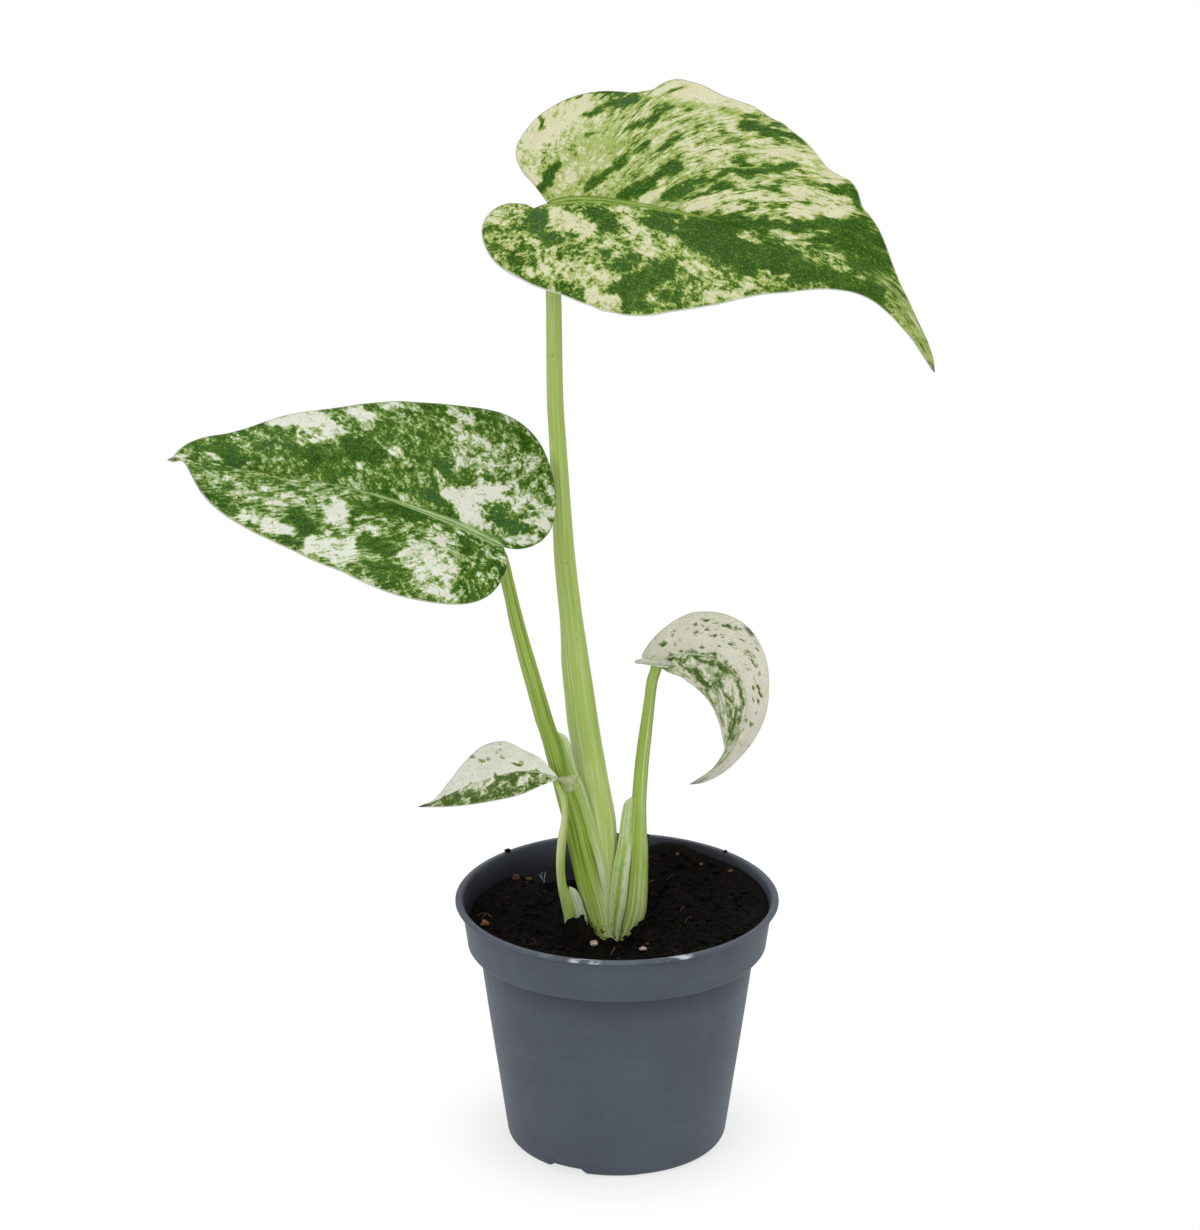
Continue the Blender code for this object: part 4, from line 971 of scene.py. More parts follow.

# Each leaf: its midrib from the tip to where the stalk joins, the two margins between those points,
# and numbers for the back and the front half. A patch is x and z of one end, the way to its other end
# in x and z, half its width, and a value for how pale, even or withered it is; in a sheen patch the value is
# the strength of its painted bluish sheen and shade.
TOP_LEAF = {
    "puff": (3, 3), "notch": (0, 5.2), "rib": 2.3, "rib_fade": (0.58, 0.7), "pale": (0.61, 0.46),
    "even": (0.45, 0.2), "streak": (0.85, 0.3),
    "midrib": ((112, -12, 302), (105.5, -11, 313), (97.5, -10, 326), (86, -8, 337.5), (68, -6, 345.5),
        (47, -4, 351.5), (27.5, -2, 356), (7.5, 0, 359.5), (-11.5, 1, 361.5), (-24.6, 2, 359.8)),
    "back": ((111.6, -10.2, 306.1), (110, -8.1, 310.9), (106.7, -5.9, 317.5), (103.1, -3.6, 325.3),
        (99.7, -1, 331.9), (97, 2, 338.3), (94.6, 5.1, 344.6), (92, 8, 349.8), (89.2, 10.1, 353.4),
        (87, 11.8, 355.7), (85.9, 13.1, 358.9), (85, 14.5, 361.5), (82.4, 16, 364.5), (78.7, 17.7, 366.1),
        (74.4, 19.3, 368.6), (72.2, 20.9, 371.1), (70.4, 22.6, 373.1), (66.6, 24.4, 376.9),
        (62.2, 26.3, 380), (58.7, 28, 382.5), (55, 29.5, 383.9), (51, 30.8, 386.3), (47.9, 32.2, 387.9),
        (41.9, 33.6, 389.7), (36.6, 34.9, 391.4), (31.1, 35.8, 394.2), (25.9, 36.1, 395.8),
        (22.2, 36.1, 396.6), (18.8, 36, 396.4), (15.9, 35.7, 395.2), (13.1, 35.4, 393.4), (9.7, 35, 392.6),
        (5.4, 34.4, 392.2), (1, 33.7, 392.7), (-4.5, 32.9, 393.1), (-10.8, 31.9, 392.6),
        (-16.8, 30.8, 391.2), (-23.2, 29, 388.4), (-29, 26.2, 384.8), (-33.3, 22.6, 380.3),
        (-35.8, 18.9, 376.5), (-36, 15.3, 372.9), (-34.2, 11.6, 369.3), (-29, 8, 365), (-26, 4.8, 362.8)),
    "front": ((111, -12.4, 303.1), (108.2, -13, 307.3), (104.5, -13.7, 313.1), (99.9, -14.2, 318.9),
        (95.4, -14.5, 323.9), (90, -14.9, 328.5), (84.7, -15.7, 331.4), (79.3, -17, 333.1),
        (72.2, -18.8, 334.2), (66, -20.8, 334.4), (59.8, -22.8, 334.2), (52.8, -25, 334.3),
        (46.6, -27.3, 334), (40.5, -29.6, 333.2), (35.2, -31.8, 332.5), (30, -33.8, 332.1),
        (23.9, -35.8, 331.6), (17.8, -37.5, 331.2), (12.7, -38.8, 330.5), (7.5, -39.5, 330.4),
        (2.3, -39.7, 330.7), (-1.2, -39.4, 331.4), (-5.5, -38.7, 332), (-8.9, -37.3, 333.1),
        (-14.1, -35.2, 334.4), (-19.3, -32.4, 335.8), (-24.5, -29.6, 336.7), (-29.7, -27.1, 337.9),
        (-34.1, -24.7, 339.6), (-38.5, -21.9, 341.1), (-43.3, -18.4, 344.1), (-46, -14.6, 347.1),
        (-47.6, -10.8, 350.5), (-47.8, -7.2, 353.2), (-46.8, -4.2, 355.7), (-44.9, -1.8, 357.5),
        (-42.3, 0.1, 359), (-38.8, 1.2, 360), (-35.3, 1.6, 359.9), (-32.2, 1.4, 359.6), (-30.2, 1.2, 358.6),
        (-28.6, 1.2, 357.5), (-27.1, 1.4, 357.9), (-25.7, 1.7, 358.9)),
    "patches": ((-33.4, 374.6, 7.7, 9.7, 5.6, 0.95), (-25.7, 384.3, 13, 4.7, 4.8, 0.95),
        (-23.3, 380.9, 8, 4.1, 5.6, 0.9), (-33.4, 374.6, 3.2, -7.1, 3.3, 0.86),
        (21.2, 393.7, 15.4, -2.5, 4.2, 0.98), (36.1, 390.9, 11.9, -3.6, 2.8, 0.94),
        (15.1, 393, 6.8, 1.5, 2.4, 0.95), (-20.5, 365.6, 10.4, 9.1, 4.8, 0.74),
        (8.9, 360.5, 6.2, 3.8, 1.6, 0.92), (27.1, 375.3, 13.9, -1.4, 3.9, 0.72),
        (25.4, 384.7, 11.4, 2.1, 2.8, 0.7), (36.3, 384.7, 8.6, -2.5, 2.8, 0.75),
        (25, 358.7, 10.5, 1.6, 2.2, 0.95), (35.9, 361.9, 21.7, 0.2, 3.7, 0.76),
        (57.6, 362.1, 17.4, -2.5, 3.9, 0.82), (62.1, 357.2, 19.7, -1.9, 1.7, 0.95),
        (49.2, 377, 19.6, -6.7, 3.7, 0.78), (70, 369.9, 8, -3.9, 3, 0.9),
        (54.2, 374.4, 12.2, -2.6, 2.8, 0.88), (-27.6, 385, 0.6, -1.5, 0.8, 0.1),
        (-14, 391.5, 9.5, 1.3, 0.8, 0.15), (-4.5, 392.8, 14.1, -0.2, 1.1, 0.15),
        (-10.9, 386.1, 8, 2.4, 1.2, 0.2), (-2.9, 388.5, 8.9, 2.4, 1.7, 0.08),
        (5.2, 382.8, 12.9, 5.5, 1.4, 0.18), (17.4, 392.6, 5.4, 1.8, 0.7, 0.3),
        (-11, 380.4, 3.4, 1.5, 0.7, 0.25), (-26.8, 365, 5.5, 7.1, 1.8, 0), (-11.2, 363.7, 14, 10, 1.6, 0.15),
        (1.9, 362.2, 18.5, 9, 2.8, 0.04), (15.3, 375.7, 6.2, 4.4, 1.5, 0.15),
        (5.3, 374.7, 5.4, 3.4, 1.2, 0.3), (15.9, 361.7, 9.7, 3.8, 2, 0.1), (25.7, 364.9, 6.8, 2.2, 1.9, 0.2),
        (35.6, 368.4, 25.9, 1.1, 1.7, 0.1), (27.3, 362.1, 13.2, 3.9, 1.5, 0.22),
        (44.9, 382.2, 9.2, -2.7, 1.9, 0.05), (53.9, 380.1, 11.6, -2.6, 1.7, 0.05),
        (54.9, 382.9, 4.1, -1.1, 0.8, 0.15), (40.8, 371.7, 4.6, -0.3, 1.2, 0.1),
        (74, 363.9, 5.5, -1.8, 1.4, 0.1), (78.4, 362.6, 6, -3.3, 1.8, 0.08),
        (84.5, 358.6, 1.2, -1.9, 1.1, 0.2), (49.2, 363.8, 7.9, 0.7, 1, 0.18),
        (45.2, 384.7, 3.9, -0.1, 0.8, 0.25), (34.1, 354.6, 6.2, 0.3, 1.1, 0.03),
        (40, 354.1, 22.2, -1, 2.4, 0.03), (62, 352.4, 24.3, -2, 3.7, 0.04),
        (70.9, 347.3, 21.6, -2.1, 3.9, 0.07), (84.2, 341, 11.7, -3.6, 4.8, 0.12),
        (97.5, 330.5, 4.6, -7, 3.7, 0.38), (54.1, 354.4, 7.1, -0.5, 0.4, 0.7),
        (63.2, 355.8, 5.6, 0.2, 0.6, 0.9), (66.1, 350.7, 6.7, -1.4, 0.5, 0.62),
        (-44.9, 355.4, 10.4, 3.2, 2.8, 0.66), (-35.3, 353.4, 9.8, 2.3, 2.8, 0.2),
        (-38.8, 348.6, 4.8, -0.8, 2.2, 0.4), (-30.7, 356.1, 7.7, 1.6, 2.4, 0.04),
        (-30.8, 354.6, 6.2, -3.8, 2.6, 0.15), (-37.4, 345.1, 7, -0.5, 1.4, 0.15),
        (-35.8, 340.8, 3.2, -0.7, 0.9, 0.05), (-30.6, 339.1, 4, -0.7, 0.9, 0.05),
        (-18.4, 337.2, 5.9, -0.3, 1.2, 0.1), (-22.2, 350.7, 6.1, -2.3, 2, 0.2),
        (-21.1, 357, 9.9, -3.1, 3.9, 0.86), (-7.1, 357.5, 6.8, -2.9, 3.3, 0.05),
        (3.5, 355.9, 7.3, -7.6, 4.1, 0.72), (-26.5, 343.2, 22.2, -2, 4.5, 0.7),
        (-9.5, 336.3, 9.5, -2.4, 2.6, 0.9), (0.9, 344.7, 4.1, 1.4, 2.6, 0.15),
        (2.4, 336.7, 7, 2.2, 4.7, 0.05), (9.2, 341.3, 8.6, 1.8, 3.5, 0.07), (4.1, 333, 8.4, -0.1, 2.2, 0.1),
        (14.6, 336, 5.8, -1.3, 2.2, 0.15), (16.7, 349.3, 10.2, -2.6, 1.1, 0.68),
        (23.4, 344.5, 12.2, -4.3, 0.9, 0.76), (29.3, 334.9, 13.1, 0.1, 2.2, 0.82),
        (43.4, 336.7, 3.3, -0.1, 1.3, 0.7), (14.6, 355.6, 12, -3.3, 4.2, 0.03),
        (26.6, 352.3, 17.8, -8.9, 5.4, 0.02), (35.8, 353.6, 25.8, -13, 6.1, 0.03),
        (61.6, 340.6, 17.5, -4.9, 4.2, 0.05), (79.5, 335.1, 12.2, -4.6, 3.7, 0.08),
        (42.1, 351.7, 8.5, -3, 0.7, 0.7), (49.3, 341.6, 9.5, -3, 1, 0.68),
        (-4.6, 358.9, 8.8, 0.5, 0.7, 0.75), (20, 354.7, 0.8, -0.4, 0.6, 0.6),
        (101.1, 323.9, 10.3, -21, 4.7, 0.55)),
    "even_patches": ((-33, 375, 13, 13, 7, 0.1), (-24, 364, 18, 14, 10, 0.85), (16, 392, 30, -5, 6, 0.75),
        (0, 372, 26, 12, 4, 0.5), (-14, 362, 34, -2, 2, 0.8), (40, 348, 56, -14, 6, 0.3),
        (36, 362, 46, -5, 5, 0.1), (108, 306, -10, 18, 7, 0.9), (98, 324, -5, 9, 6, 0.75),
        (30, 345, 30, -3, 8, 0.45)),
    "sheen_and_shade_patches": ((24, 365, 4, 1, 2.5, 0.6), (-26, 357, 4, -4, 4, 0.7), (2, 391, 6, 0.5, 2, 0.9),
        (5, 352, 7, -2, 5, 0.4)),
    "withered": ((112, 302, -0.6, 1.4, 0.9, 0.7),),
}
LEFT_LEAF = {
    "puff": (3, 3), "rib": 2.3, "rib_fade": (0.1, 0.5), "pale": (0.36, 0.43), "even": (0.2, 0.2),
    "streak": (0.35, 0.5),
    "midrib": ((-157.5, -38, 278), (-150, -38, 278), (-135.5, -37, 275), (-116.5, -36, 271.3),
        (-97, -35, 266.9), (-83, -34, 262.8), (-68.5, -33, 257.2), (-54, -32, 250.8), (-40.9, -32, 244)),
    "back": ((-155.8, -37, 278.7), (-153.2, -35.8, 281.2), (-150.3, -34, 282.8), (-144.6, -31.5, 284.3),
        (-137, -28.4, 284.7), (-130.2, -25.1, 285.7), (-123.3, -21.8, 287.3), (-115.6, -18.7, 288.7),
        (-107.8, -15.7, 289.1), (-100.1, -13, 289.3), (-92.2, -10.4, 289.8), (-85.3, -7.9, 289.8),
        (-78.3, -5.4, 289.5), (-70.4, -2.7, 288.3), (-62.5, 0, 286.9), (-54.6, 2.4, 285.3),
        (-47.5, 4, 283.8), (-41.2, 4.2, 282.1), (-35.9, 3.2, 279.7), (-31.4, 0.9, 276.7),
        (-27.8, -2.4, 273.1), (-25.1, -6.6, 268.8), (-23, -11.3, 263.8), (-22, -15.9, 258.8),
        (-21.8, -20, 254.6), (-22.4, -23.3, 250.9), (-24, -26, 247.6), (-26.7, -28.3, 244.9),
        (-30.2, -30.1, 243.3), (-34.6, -31.3, 242.6), (-38.1, -31.9, 243)),
    "front": ((-155.3, -39.3, 277.7), (-152.5, -40.6, 278.6), (-151.1, -42, 278.2), (-149.4, -43.9, 275.8),
        (-147.2, -46.5, 272.4), (-144.4, -49.4, 268.7), (-140.6, -52.4, 265.6), (-135.4, -55.2, 262.4),
        (-130.1, -57.5, 259.9), (-124.9, -59.4, 257.7), (-118.7, -61.1, 255.2), (-112.7, -62.4, 252.8),
        (-107.5, -63.7, 250.5), (-101.4, -64.9, 248.2), (-96, -66.3, 246.6), (-90.1, -67.5, 243.9),
        (-84, -68.3, 241.3), (-78, -68.3, 238.9), (-71.2, -67.2, 236.6), (-63.5, -65, 234.4),
        (-56.7, -61.7, 232.6), (-50.7, -57.6, 231.8), (-45.6, -52.8, 232.4), (-42.2, -47.9, 234.2),
        (-40, -43.2, 236.8), (-38.8, -39.3, 239.3), (-39, -36.3, 241.2), (-40, -34, 242.9)),
    "patches": ((-52.6, 275.5, 17.2, -10.5, 6.5, 0.52), (-121.7, 286.7, 16.5, 0.2, 2.8, 0.96),
        (-105.1, 286.1, 5.6, -1.6, 1.9, 0.9), (-112.1, 288.6, 7.2, -0.6, 1.3, 0.9),
        (-111.5, 283.9, 15.3, -1.1, 1.5, 0.8), (-108, 281.4, 6.7, 0.1, 1.2, 0.85),
        (-94.1, 287.5, 6.7, -1.6, 2.2, 0.95), (-99.8, 287.2, 4.9, -0.5, 1.2, 0.65),
        (-82.4, 288.9, 5.8, -0.9, 1.1, 0.85), (-59.3, 284.6, 7.9, -4, 2.2, 0.86),
        (-57.2, 280.5, 2.8, -5.3, 1.5, 0.76), (-50.8, 275.7, 5.9, -1.9, 1.9, 0.7),
        (-43.6, 275.7, 0.5, -5.5, 1.1, 0.6), (-78.8, 276, 1.8, -0.5, 1.4, 0.82),
        (-91.3, 273.6, 0.7, -1.6, 1, 0.85), (-58.3, 275.2, 1.7, -7.2, 1.2, 0.62),
        (-31.1, 269.5, 1.5, -2.2, 1.8, 0.86), (-28.9, 256.2, 4.6, -2.7, 2.4, 0.9),
        (-24.7, 261.7, 1.6, -3.5, 1.1, 0.7), (-60.2, 261.4, 22.3, -1.8, 3.9, 0.98),
        (-55.2, 258.1, 8.3, -7.1, 3.9, 1), (-38.5, 260.7, 4, -4, 3.2, 0.75),
        (-31.1, 251.7, 6.1, -1.9, 2.6, 0.92), (-37.2, 246.4, 7.9, 0, 2, 0.9),
        (-45.1, 252.4, 10.4, -3.3, 2.6, 0.15), (-95.9, 279.3, 10.2, -4.7, 3.5, 0.03),
        (-140, 281.7, 6, -4.6, 3.5, 0.08), (-111.4, 279, 12.1, -4.5, 2.6, 0.08),
        (-63, 271.7, 3.5, -5.1, 2.6, 0.1), (-48.5, 281.5, 10.1, -5.4, 2.8, 0.42),
        (-38.6, 272.8, 3.8, -7.8, 2.4, 0.5), (-55.7, 272.1, 11, -4.5, 3.7, 0.62),
        (-67.4, 263.7, 4.2, -3.8, 2.2, 0.08), (-143, 273.3, 8.7, -0.7, 0.7, 0.78),
        (-133.1, 269.6, 15.5, -1.9, 1.3, 0.7), (-129.3, 267.1, 15.3, -0.2, 1.1, 0.68),
        (-121.8, 265.7, 11.1, -0.8, 1.2, 0.8), (-143.3, 268.5, 6.7, -1.8, 1.7, 0.1),
        (-137.4, 263.8, 6.8, 1.3, 1.6, 0.3), (-129.9, 262.4, 16, -4, 2.4, 0.84),
        (-121.7, 258.4, 6.5, -1.2, 1.3, 0.9), (-111.6, 261.9, 5, -5.2, 3.1, 0.05),
        (-116.5, 255.5, 6.1, -1.3, 1.7, 0.1), (-105.1, 264, 11.7, -4.1, 2.6, 0.55),
        (-99.5, 261.7, 4.5, -3.3, 2, 0.86), (-98.8, 264.6, 2.6, -1.1, 1.5, 0.8),
        (-92.8, 259.7, 7.9, 0.9, 1.9, 0.15), (-106.1, 254, 13.4, -4, 3.5, 0.93),
        (-97.7, 253.4, 12.1, 1.6, 2.3, 0.86), (-89.1, 252.9, 13.2, -3.2, 2.6, 0.1),
        (-93.7, 247.2, 8.7, -1.3, 1.4, 0.4), (-83.5, 245.7, 8, -3.2, 3, 0.2),
        (-85.2, 261.6, 6.4, -1.6, 1.7, 0.12), (-79.5, 259.2, 11.6, -2.7, 1.9, 0.05),
        (-73.5, 248.7, 15.2, -6, 4.7, 0.8), (-67.9, 241.2, 10.4, -5.7, 3.2, 0.82),
        (-65.3, 252.1, 9.6, -5.9, 2.6, 0.7), (-53.9, 245.1, 13.8, -6.7, 4.3, 0.28),
        (-54.1, 237.3, 9.8, -3.2, 3.9, 0.32), (-55.4, 247.9, 4.3, -1.8, 1.7, 0.08),
        (-80.4, 241.4, 12, -4, 2, 0.42), (-154.5, 277.8, 3, 1.5, 0.7, 0.85), (-147, 281.4, 6, 0.6, 0.9, 0.1),
        (-142.8, 279.4, 4.6, -2.1, 0.6, 0.9)),
    "sheen_and_shade_patches": ((-48, 272, 10, -16, 7, 0.8), (-62, 272, 10, 4, 6, 0.6), (-70, 262, 10, 0, 4, 0.7),
        (-44, 247, 8, 0, 4, 0.8), (-150, 280, 30, -3, 7, 0.6), (-110, 270, 20, -4, 4, 0.6)),
    "withered": ((-157.5, 278, 0.9, 0.4, 0.7, 0.6),),
}
RIGHT_LEAF = {
    "puff": (2, 1.5), "rib": 0.9, "rib_fade": (0.3, 0.9), "pale": (1, 0.66), "even": (0.15, 0.2),
    "streak": (0.5, 1),
    "midrib": ((26.5, -11, 145), (35.5, -10, 151), (41.5, -8.5, 157), (46, -7, 167), (47, -6, 175),
        (45.5, -5, 181), (42, -4, 186.5), (37.5, -3, 190), (32, -2, 192), (26, -1, 192.5), (19.5, 0.5, 191),
        (14.2, 2, 187.6)),
    "back": ((31, -8.5, 144.5), (39.5, -7, 148.5), (49.5, -3.5, 158.5), (54.5, -1, 169), (55.5, 1.5, 179.5),
        (54.5, 4.5, 188), (49, 8.5, 198), (39.5, 10.5, 203.5), (27, 10.5, 204), (17, 8, 199),
        (10.5, 6.5, 192), (9, 5.2, 188.4)),
    "front": ((30.5, -12.5, 148), (35.5, -13, 152), (39, -13, 158), (38, -15, 167), (36, -17, 175),
        (31.5, -16.5, 182), (24.5, -11, 186), (18, -3, 186)),
    "patches": ((28.6, 200.8, 0.2, -0.2, 0.3, 0.3), (33.8, 201.7, 0.4, 0, 0.3, 0.3),
        (36.7, 201.2, 0.4, -0.1, 0.3, 0.3), (42.9, 199.3, 0.7, -0.2, 0.3, 0.3),
        (45.5, 198.6, 0.4, -0.3, 0.3, 0.35), (29.7, 197.6, 0.4, 0, 0.3, 0.35),
        (33.5, 196.8, 0.3, -0.3, 0.3, 0.3), (37.9, 196.4, 0.6, -0.5, 0.3, 0.3),
        (41.2, 195.2, 0.5, -0.4, 0.3, 0.3), (50.1, 192.3, 0.4, -1, 0.3, 0.3),
        (48.9, 189.2, 0.2, -0.9, 0.3, 0.3), (50.5, 187.2, 0, -0.6, 0.3, 0.35),
        (47.8, 186.5, 0, -0.5, 0.3, 0.3), (49.9, 182.5, -0.1, -0.8, 0.3, 0.3),
        (48.8, 179.8, 0.2, -0.8, 0.3, 0.3), (51.1, 175.5, 0, -0.9, 0.3, 0.3),
        (47.9, 172, 0.1, -0.9, 0.3, 0.3), (47.3, 168.7, 0.1, -0.5, 0.3, 0.35),
        (44.8, 160.6, 0.1, -0.6, 0.3, 0.4), (36.4, 193.4, 0.6, -0.3, 0.3, 0.3),
        (30.9, 194.5, 0.8, -0.2, 0.3, 0.35), (25.6, 199.2, 0.3, 0, 0.3, 0.35),
        (20.9, 194.6, 0.7, 0.4, 0.3, 0.35), (22.8, 192.4, 11.8, -0.5, 0.5, 0.55),
        (34.6, 191.9, 8.2, -5.9, 0.6, 0.6), (43.6, 183.8, 2.1, -7.4, 0.5, 0.55),
        (27.3, 190, 4.5, -3.2, 0.5, 0.8), (31.7, 185, 3.7, -3.8, 0.6, 0.7),
        (36.3, 180.4, 3.8, -8.8, 0.6, 0.75), (37.1, 183.9, 3, -6.1, 0.5, 0.2),
        (41.2, 171.6, 0.6, -5, 0.5, 0.2), (30.6, 202.1, 2.3, -0.7, 0.5, 0.2),
        (31.8, 199.1, 1.2, -0.6, 0.5, 0.25), (39.6, 200.7, 1.3, -0.8, 0.4, 0.25),
        (48, 198, 1.5, -1.3, 0.6, 0.1), (44.5, 195.9, 1.1, -0.5, 0.3, 0.3), (40.5, 194, 1.3, 0.1, 0.3, 0.3),
        (35.5, 199, 0.3, -0.1, 0.3, 0.3), (26.4, 203.1, 0, 0, 0.3, 0.2), (15.3, 193.1, 1.5, 1.3, 0.6, 0.2),
        (20.1, 198, 0.2, -0.2, 0.3, 0.3), (46.2, 191.7, 1.5, -1.3, 0.5, 0.35),
        (51.5, 184.4, 0.2, -0.8, 0.4, 0.4), (51.8, 179.4, 0.6, -2.5, 0.4, 0.4),
        (49.1, 175.7, 0.3, -0.8, 0.3, 0.4), (44.1, 186.1, 0, -0.3, 0.3, 0.4),
        (48.7, 166.5, 0.2, -1.4, 0.4, 0.25), (45.5, 165, 0.1, -0.8, 0.3, 0.4),
        (41.4, 161, 0.1, -1, 0.3, 0.4), (34.7, 196.7, 1, -0.3, 0.3, 0.3), (47.7, 157.3, 0.2, -0.9, 0.3, 0.4),
        (25.7, 191.6, 8.8, -2.2, 0.8, 0.25), (34.5, 189.4, 7.6, -4.5, 0.8, 0.2),
        (43.7, 182.6, 1.7, -7.9, 0.4, 0.1), (45.6, 176.2, -1.1, -6.5, 0.5, 0.3),
        (40.8, 165.4, 1.3, -2.7, 1.2, 0.15), (18.5, 189.9, 5.3, 0.2, 0.9, 0.2),
        (26.3, 187.7, 5.8, -5, 0.9, 0.18), (31.6, 183.7, 1.7, -1.9, 0.8, 0.04),
        (22.8, 189.2, 4.2, -1.8, 0.6, 0.4), (34.5, 186.1, 3.4, -9.3, 1.7, 0.72),
        (38.3, 171.2, 1.1, -5.9, 1, 0.8)),
    "withered": ((26.5, 145, 1.1, -0.1, 0.9, 0.8), (29.6, 145.7, 2.6, 1.3, 0.6, 0.6),
        (47.3, 198.6, 1.9, -2.3, 0.7, 0.8), (50.2, 194.6, 0.8, -1.4, 0.3, 0.5)),
}
SMALL_LEAF = {
    "puff": (1, 1), "rib": 0.7, "rib_fade": (0.3, 0.9), "pale": (1, 0.38), "even": (0.45, 0.1),
    "streak": (0.4, 0.7),
    "midrib": ((-72.2, -25, 142), (-64, -24, 144.6), (-57, -23, 147.9), (-50, -22, 150.6),
        (-41, -20.5, 152.9), (-35, -19.5, 153.7), (-28.5, -18.7, 153), (-25.7, -18.6, 152.2),
        (-21.6, -18.6, 150.7)),
    "back": ((-67, -23.5, 144), (-61, -19.5, 150), (-55, -15.5, 156.5), (-48.5, -13, 161.2),
        (-41, -13, 162.8), (-33.5, -15, 160), (-28.1, -16.2, 157.6), (-25.2, -17.4, 154.6),
        (-23.4, -18, 152.6)),
    "front": ((-66.5, -26, 142.3), (-57.5, -28, 143.6), (-46.5, -28.5, 145.5), (-36, -27, 147.4),
        (-29.5, -24.5, 149.3), (-25.5, -22, 149.9), (-23.4, -20.3, 150.1)),
    "patches": ((-51.1, 156.7, 1.6, -0.7, 0.7, 0.4), (-47.3, 157.1, 0.1, -0.2, 0.5, 0.4),
        (-42.4, 158.2, 1.4, -0.6, 0.6, 0.4), (-37.3, 155.9, 2.6, 0.5, 0.6, 0.3),
        (-53.1, 158.1, 0.2, 0, 0.4, 0.4), (-43.2, 162.3, 0.2, 0.1, 0.4, 0.5),
        (-62.5, 144.8, 6.2, 1.4, 1.2, 0.08), (-44.4, 151.9, 6.1, -0.4, 1.2, 0.1),
        (-38.3, 152.6, 9.1, 0.7, 0.9, 0.15), (-53.5, 148.2, 6.3, 1.2, 1.1, 0.4),
        (-52.6, 145.6, 8.1, 2.2, 1.3, 0.3), (-55.8, 147.4, 11.3, 3.9, 0.6, 0.8),
        (-36.2, 151, 5.2, 0.7, 0.7, 0.78)),
    "withered": ((-72.2, 142, 1.8, 0.4, 0.8, 0.9),),
}
RIGHT_FOLD = {
    "puff": (0.4, 0.5), "rib": 0.3, "rib_fade": (0.8, 1.2), "pale": (0.9, 0.84), "even": (0.7, 0.7),
    "streak": (1, 1),
    "midrib": ((6.1, 0.5, 188.6), (8.2, -0.8, 189), (11.9, -2.6, 189.6), (15.5, -3.6, 189.6),
        (19.1, -3.4, 189.2), (21.7, -2.6, 188.5)),
    "back": ((6.6, 1.2, 189.1), (8.2, 0.8, 189.7), (10.4, -0.4, 190.1), (12.6, -1.6, 190.2),
        (15.1, -2.4, 190.4), (18, -2.8, 190.3)),
    "front": ((6.6, 0.6, 187.9), (8.6, -0.4, 188.1), (11.1, -1.8, 188.4), (13.7, -3, 188.3),
        (15.8, -3.6, 188.1), (18.4, -3.6, 187.8)),
}
SMALL_LOBE = {
    "puff": (0.2, 0.2), "rib": 0.4, "rib_fade": (0.3, 0.9), "pale": (0.78, 0.66), "even": (1, 0.9),
    "streak": (0.6, 0.6),
    "midrib": ((-14.6, -19.6, 149.2), (-16.5, -19.6, 149.3), (-19, -19.2, 149.8), (-22.4, -18.9, 150.8)),
    "back": ((-14.2, -19.2, 150.9), (-15.4, -18.8, 151.8), (-18.3, -18.7, 151.6)),
    "front": ((-15.4, -20, 147.4), (-17.2, -20.4, 145.8), (-19.2, -20.2, 147.6)),
}


def vein_surface(midrib, margin, up, puff, notch, share, out):
    """Places on a half of the blade, share 0 to 1 from tip to base and out 0 to 1 from midrib to margin."""
    bulge = np.sin(math.pi * out)
    bowed = share + VEIN_BOW * bulge * share * (1.0 - share)
    root = along_curve(midrib, 1.0 - (1.0 - bowed) ** VEIN_SLANT)
    edge = along_curve(margin, bowed)
    span = np.linalg.norm(edge - root, axis=-1)
    lift = puff * np.minimum(1.0, span / 20.0) * bulge * np.sqrt(np.sin(math.pi * bowed))
    inward = notch * np.minimum(1.0, span / 12.0) * bulge * soft_step(0.84, 0.92, bowed)
    return root + (edge - root) * out[..., None] + up * lift[..., None] + NOTCH_WAY * inward[..., None]


def patch_field(places, base, patches, soft=1.2):
    """A value for each place: the base value, with each patch laid over it in turn."""
    field = base.astype(float)
    for x, z, right, rise, radius, value in patches:
        run = np.array([right, rise * LEAN])
        off = places[:, [0, 2]] * (1.0, LEAN) - (x, z * LEAN)
        share = np.clip(off @ run / max(run @ run, 1e-6), 0.0, 1.0)
        distance = np.linalg.norm(off - share[:, None] * run, axis=1)
        field += (value - field) * (1.0 - soft_step(radius * 0.35, radius * soft + 0.45, distance))
    return field


def leaf_faces(columns, wide):
    """Faces of a blade's upper and lower side and its rim, and whether each belongs to the lower side."""
    layer = (columns - 1) * wide
    faces, below = [], []
    for start, sign in ((0, 1), (layer, -1)):
        tip_at, last = 2 * layer + (2 if start else 0), start + layer - wide
        made = []
        for k in range(wide - 1):
            made += [(tip_at, start + k, start + k + 1), (tip_at + 1, last + k + 1, last + k)]
        made += [(row + k, row + k + wide, row + k + wide + 1, row + k + 1)
                 for row in range(start, last, wide) for k in range(wide - 1)]
        faces += [face[::sign] for face in made]
        below += [start > 0] * len(made)
    for k, sign in ((0, -1), (wide - 1, 1)):
        chain = [2 * layer, *range(k, layer, wide), 2 * layer + 1]
        under = [2 * layer + 2, *range(layer + k, 2 * layer, wide), 2 * layer + 3]
        faces += [(chain[j], under[j], under[j + 1], chain[j + 1])[::sign] for j in range(len(chain) - 1)]
    return faces, below + [False] * (len(faces) - len(below))


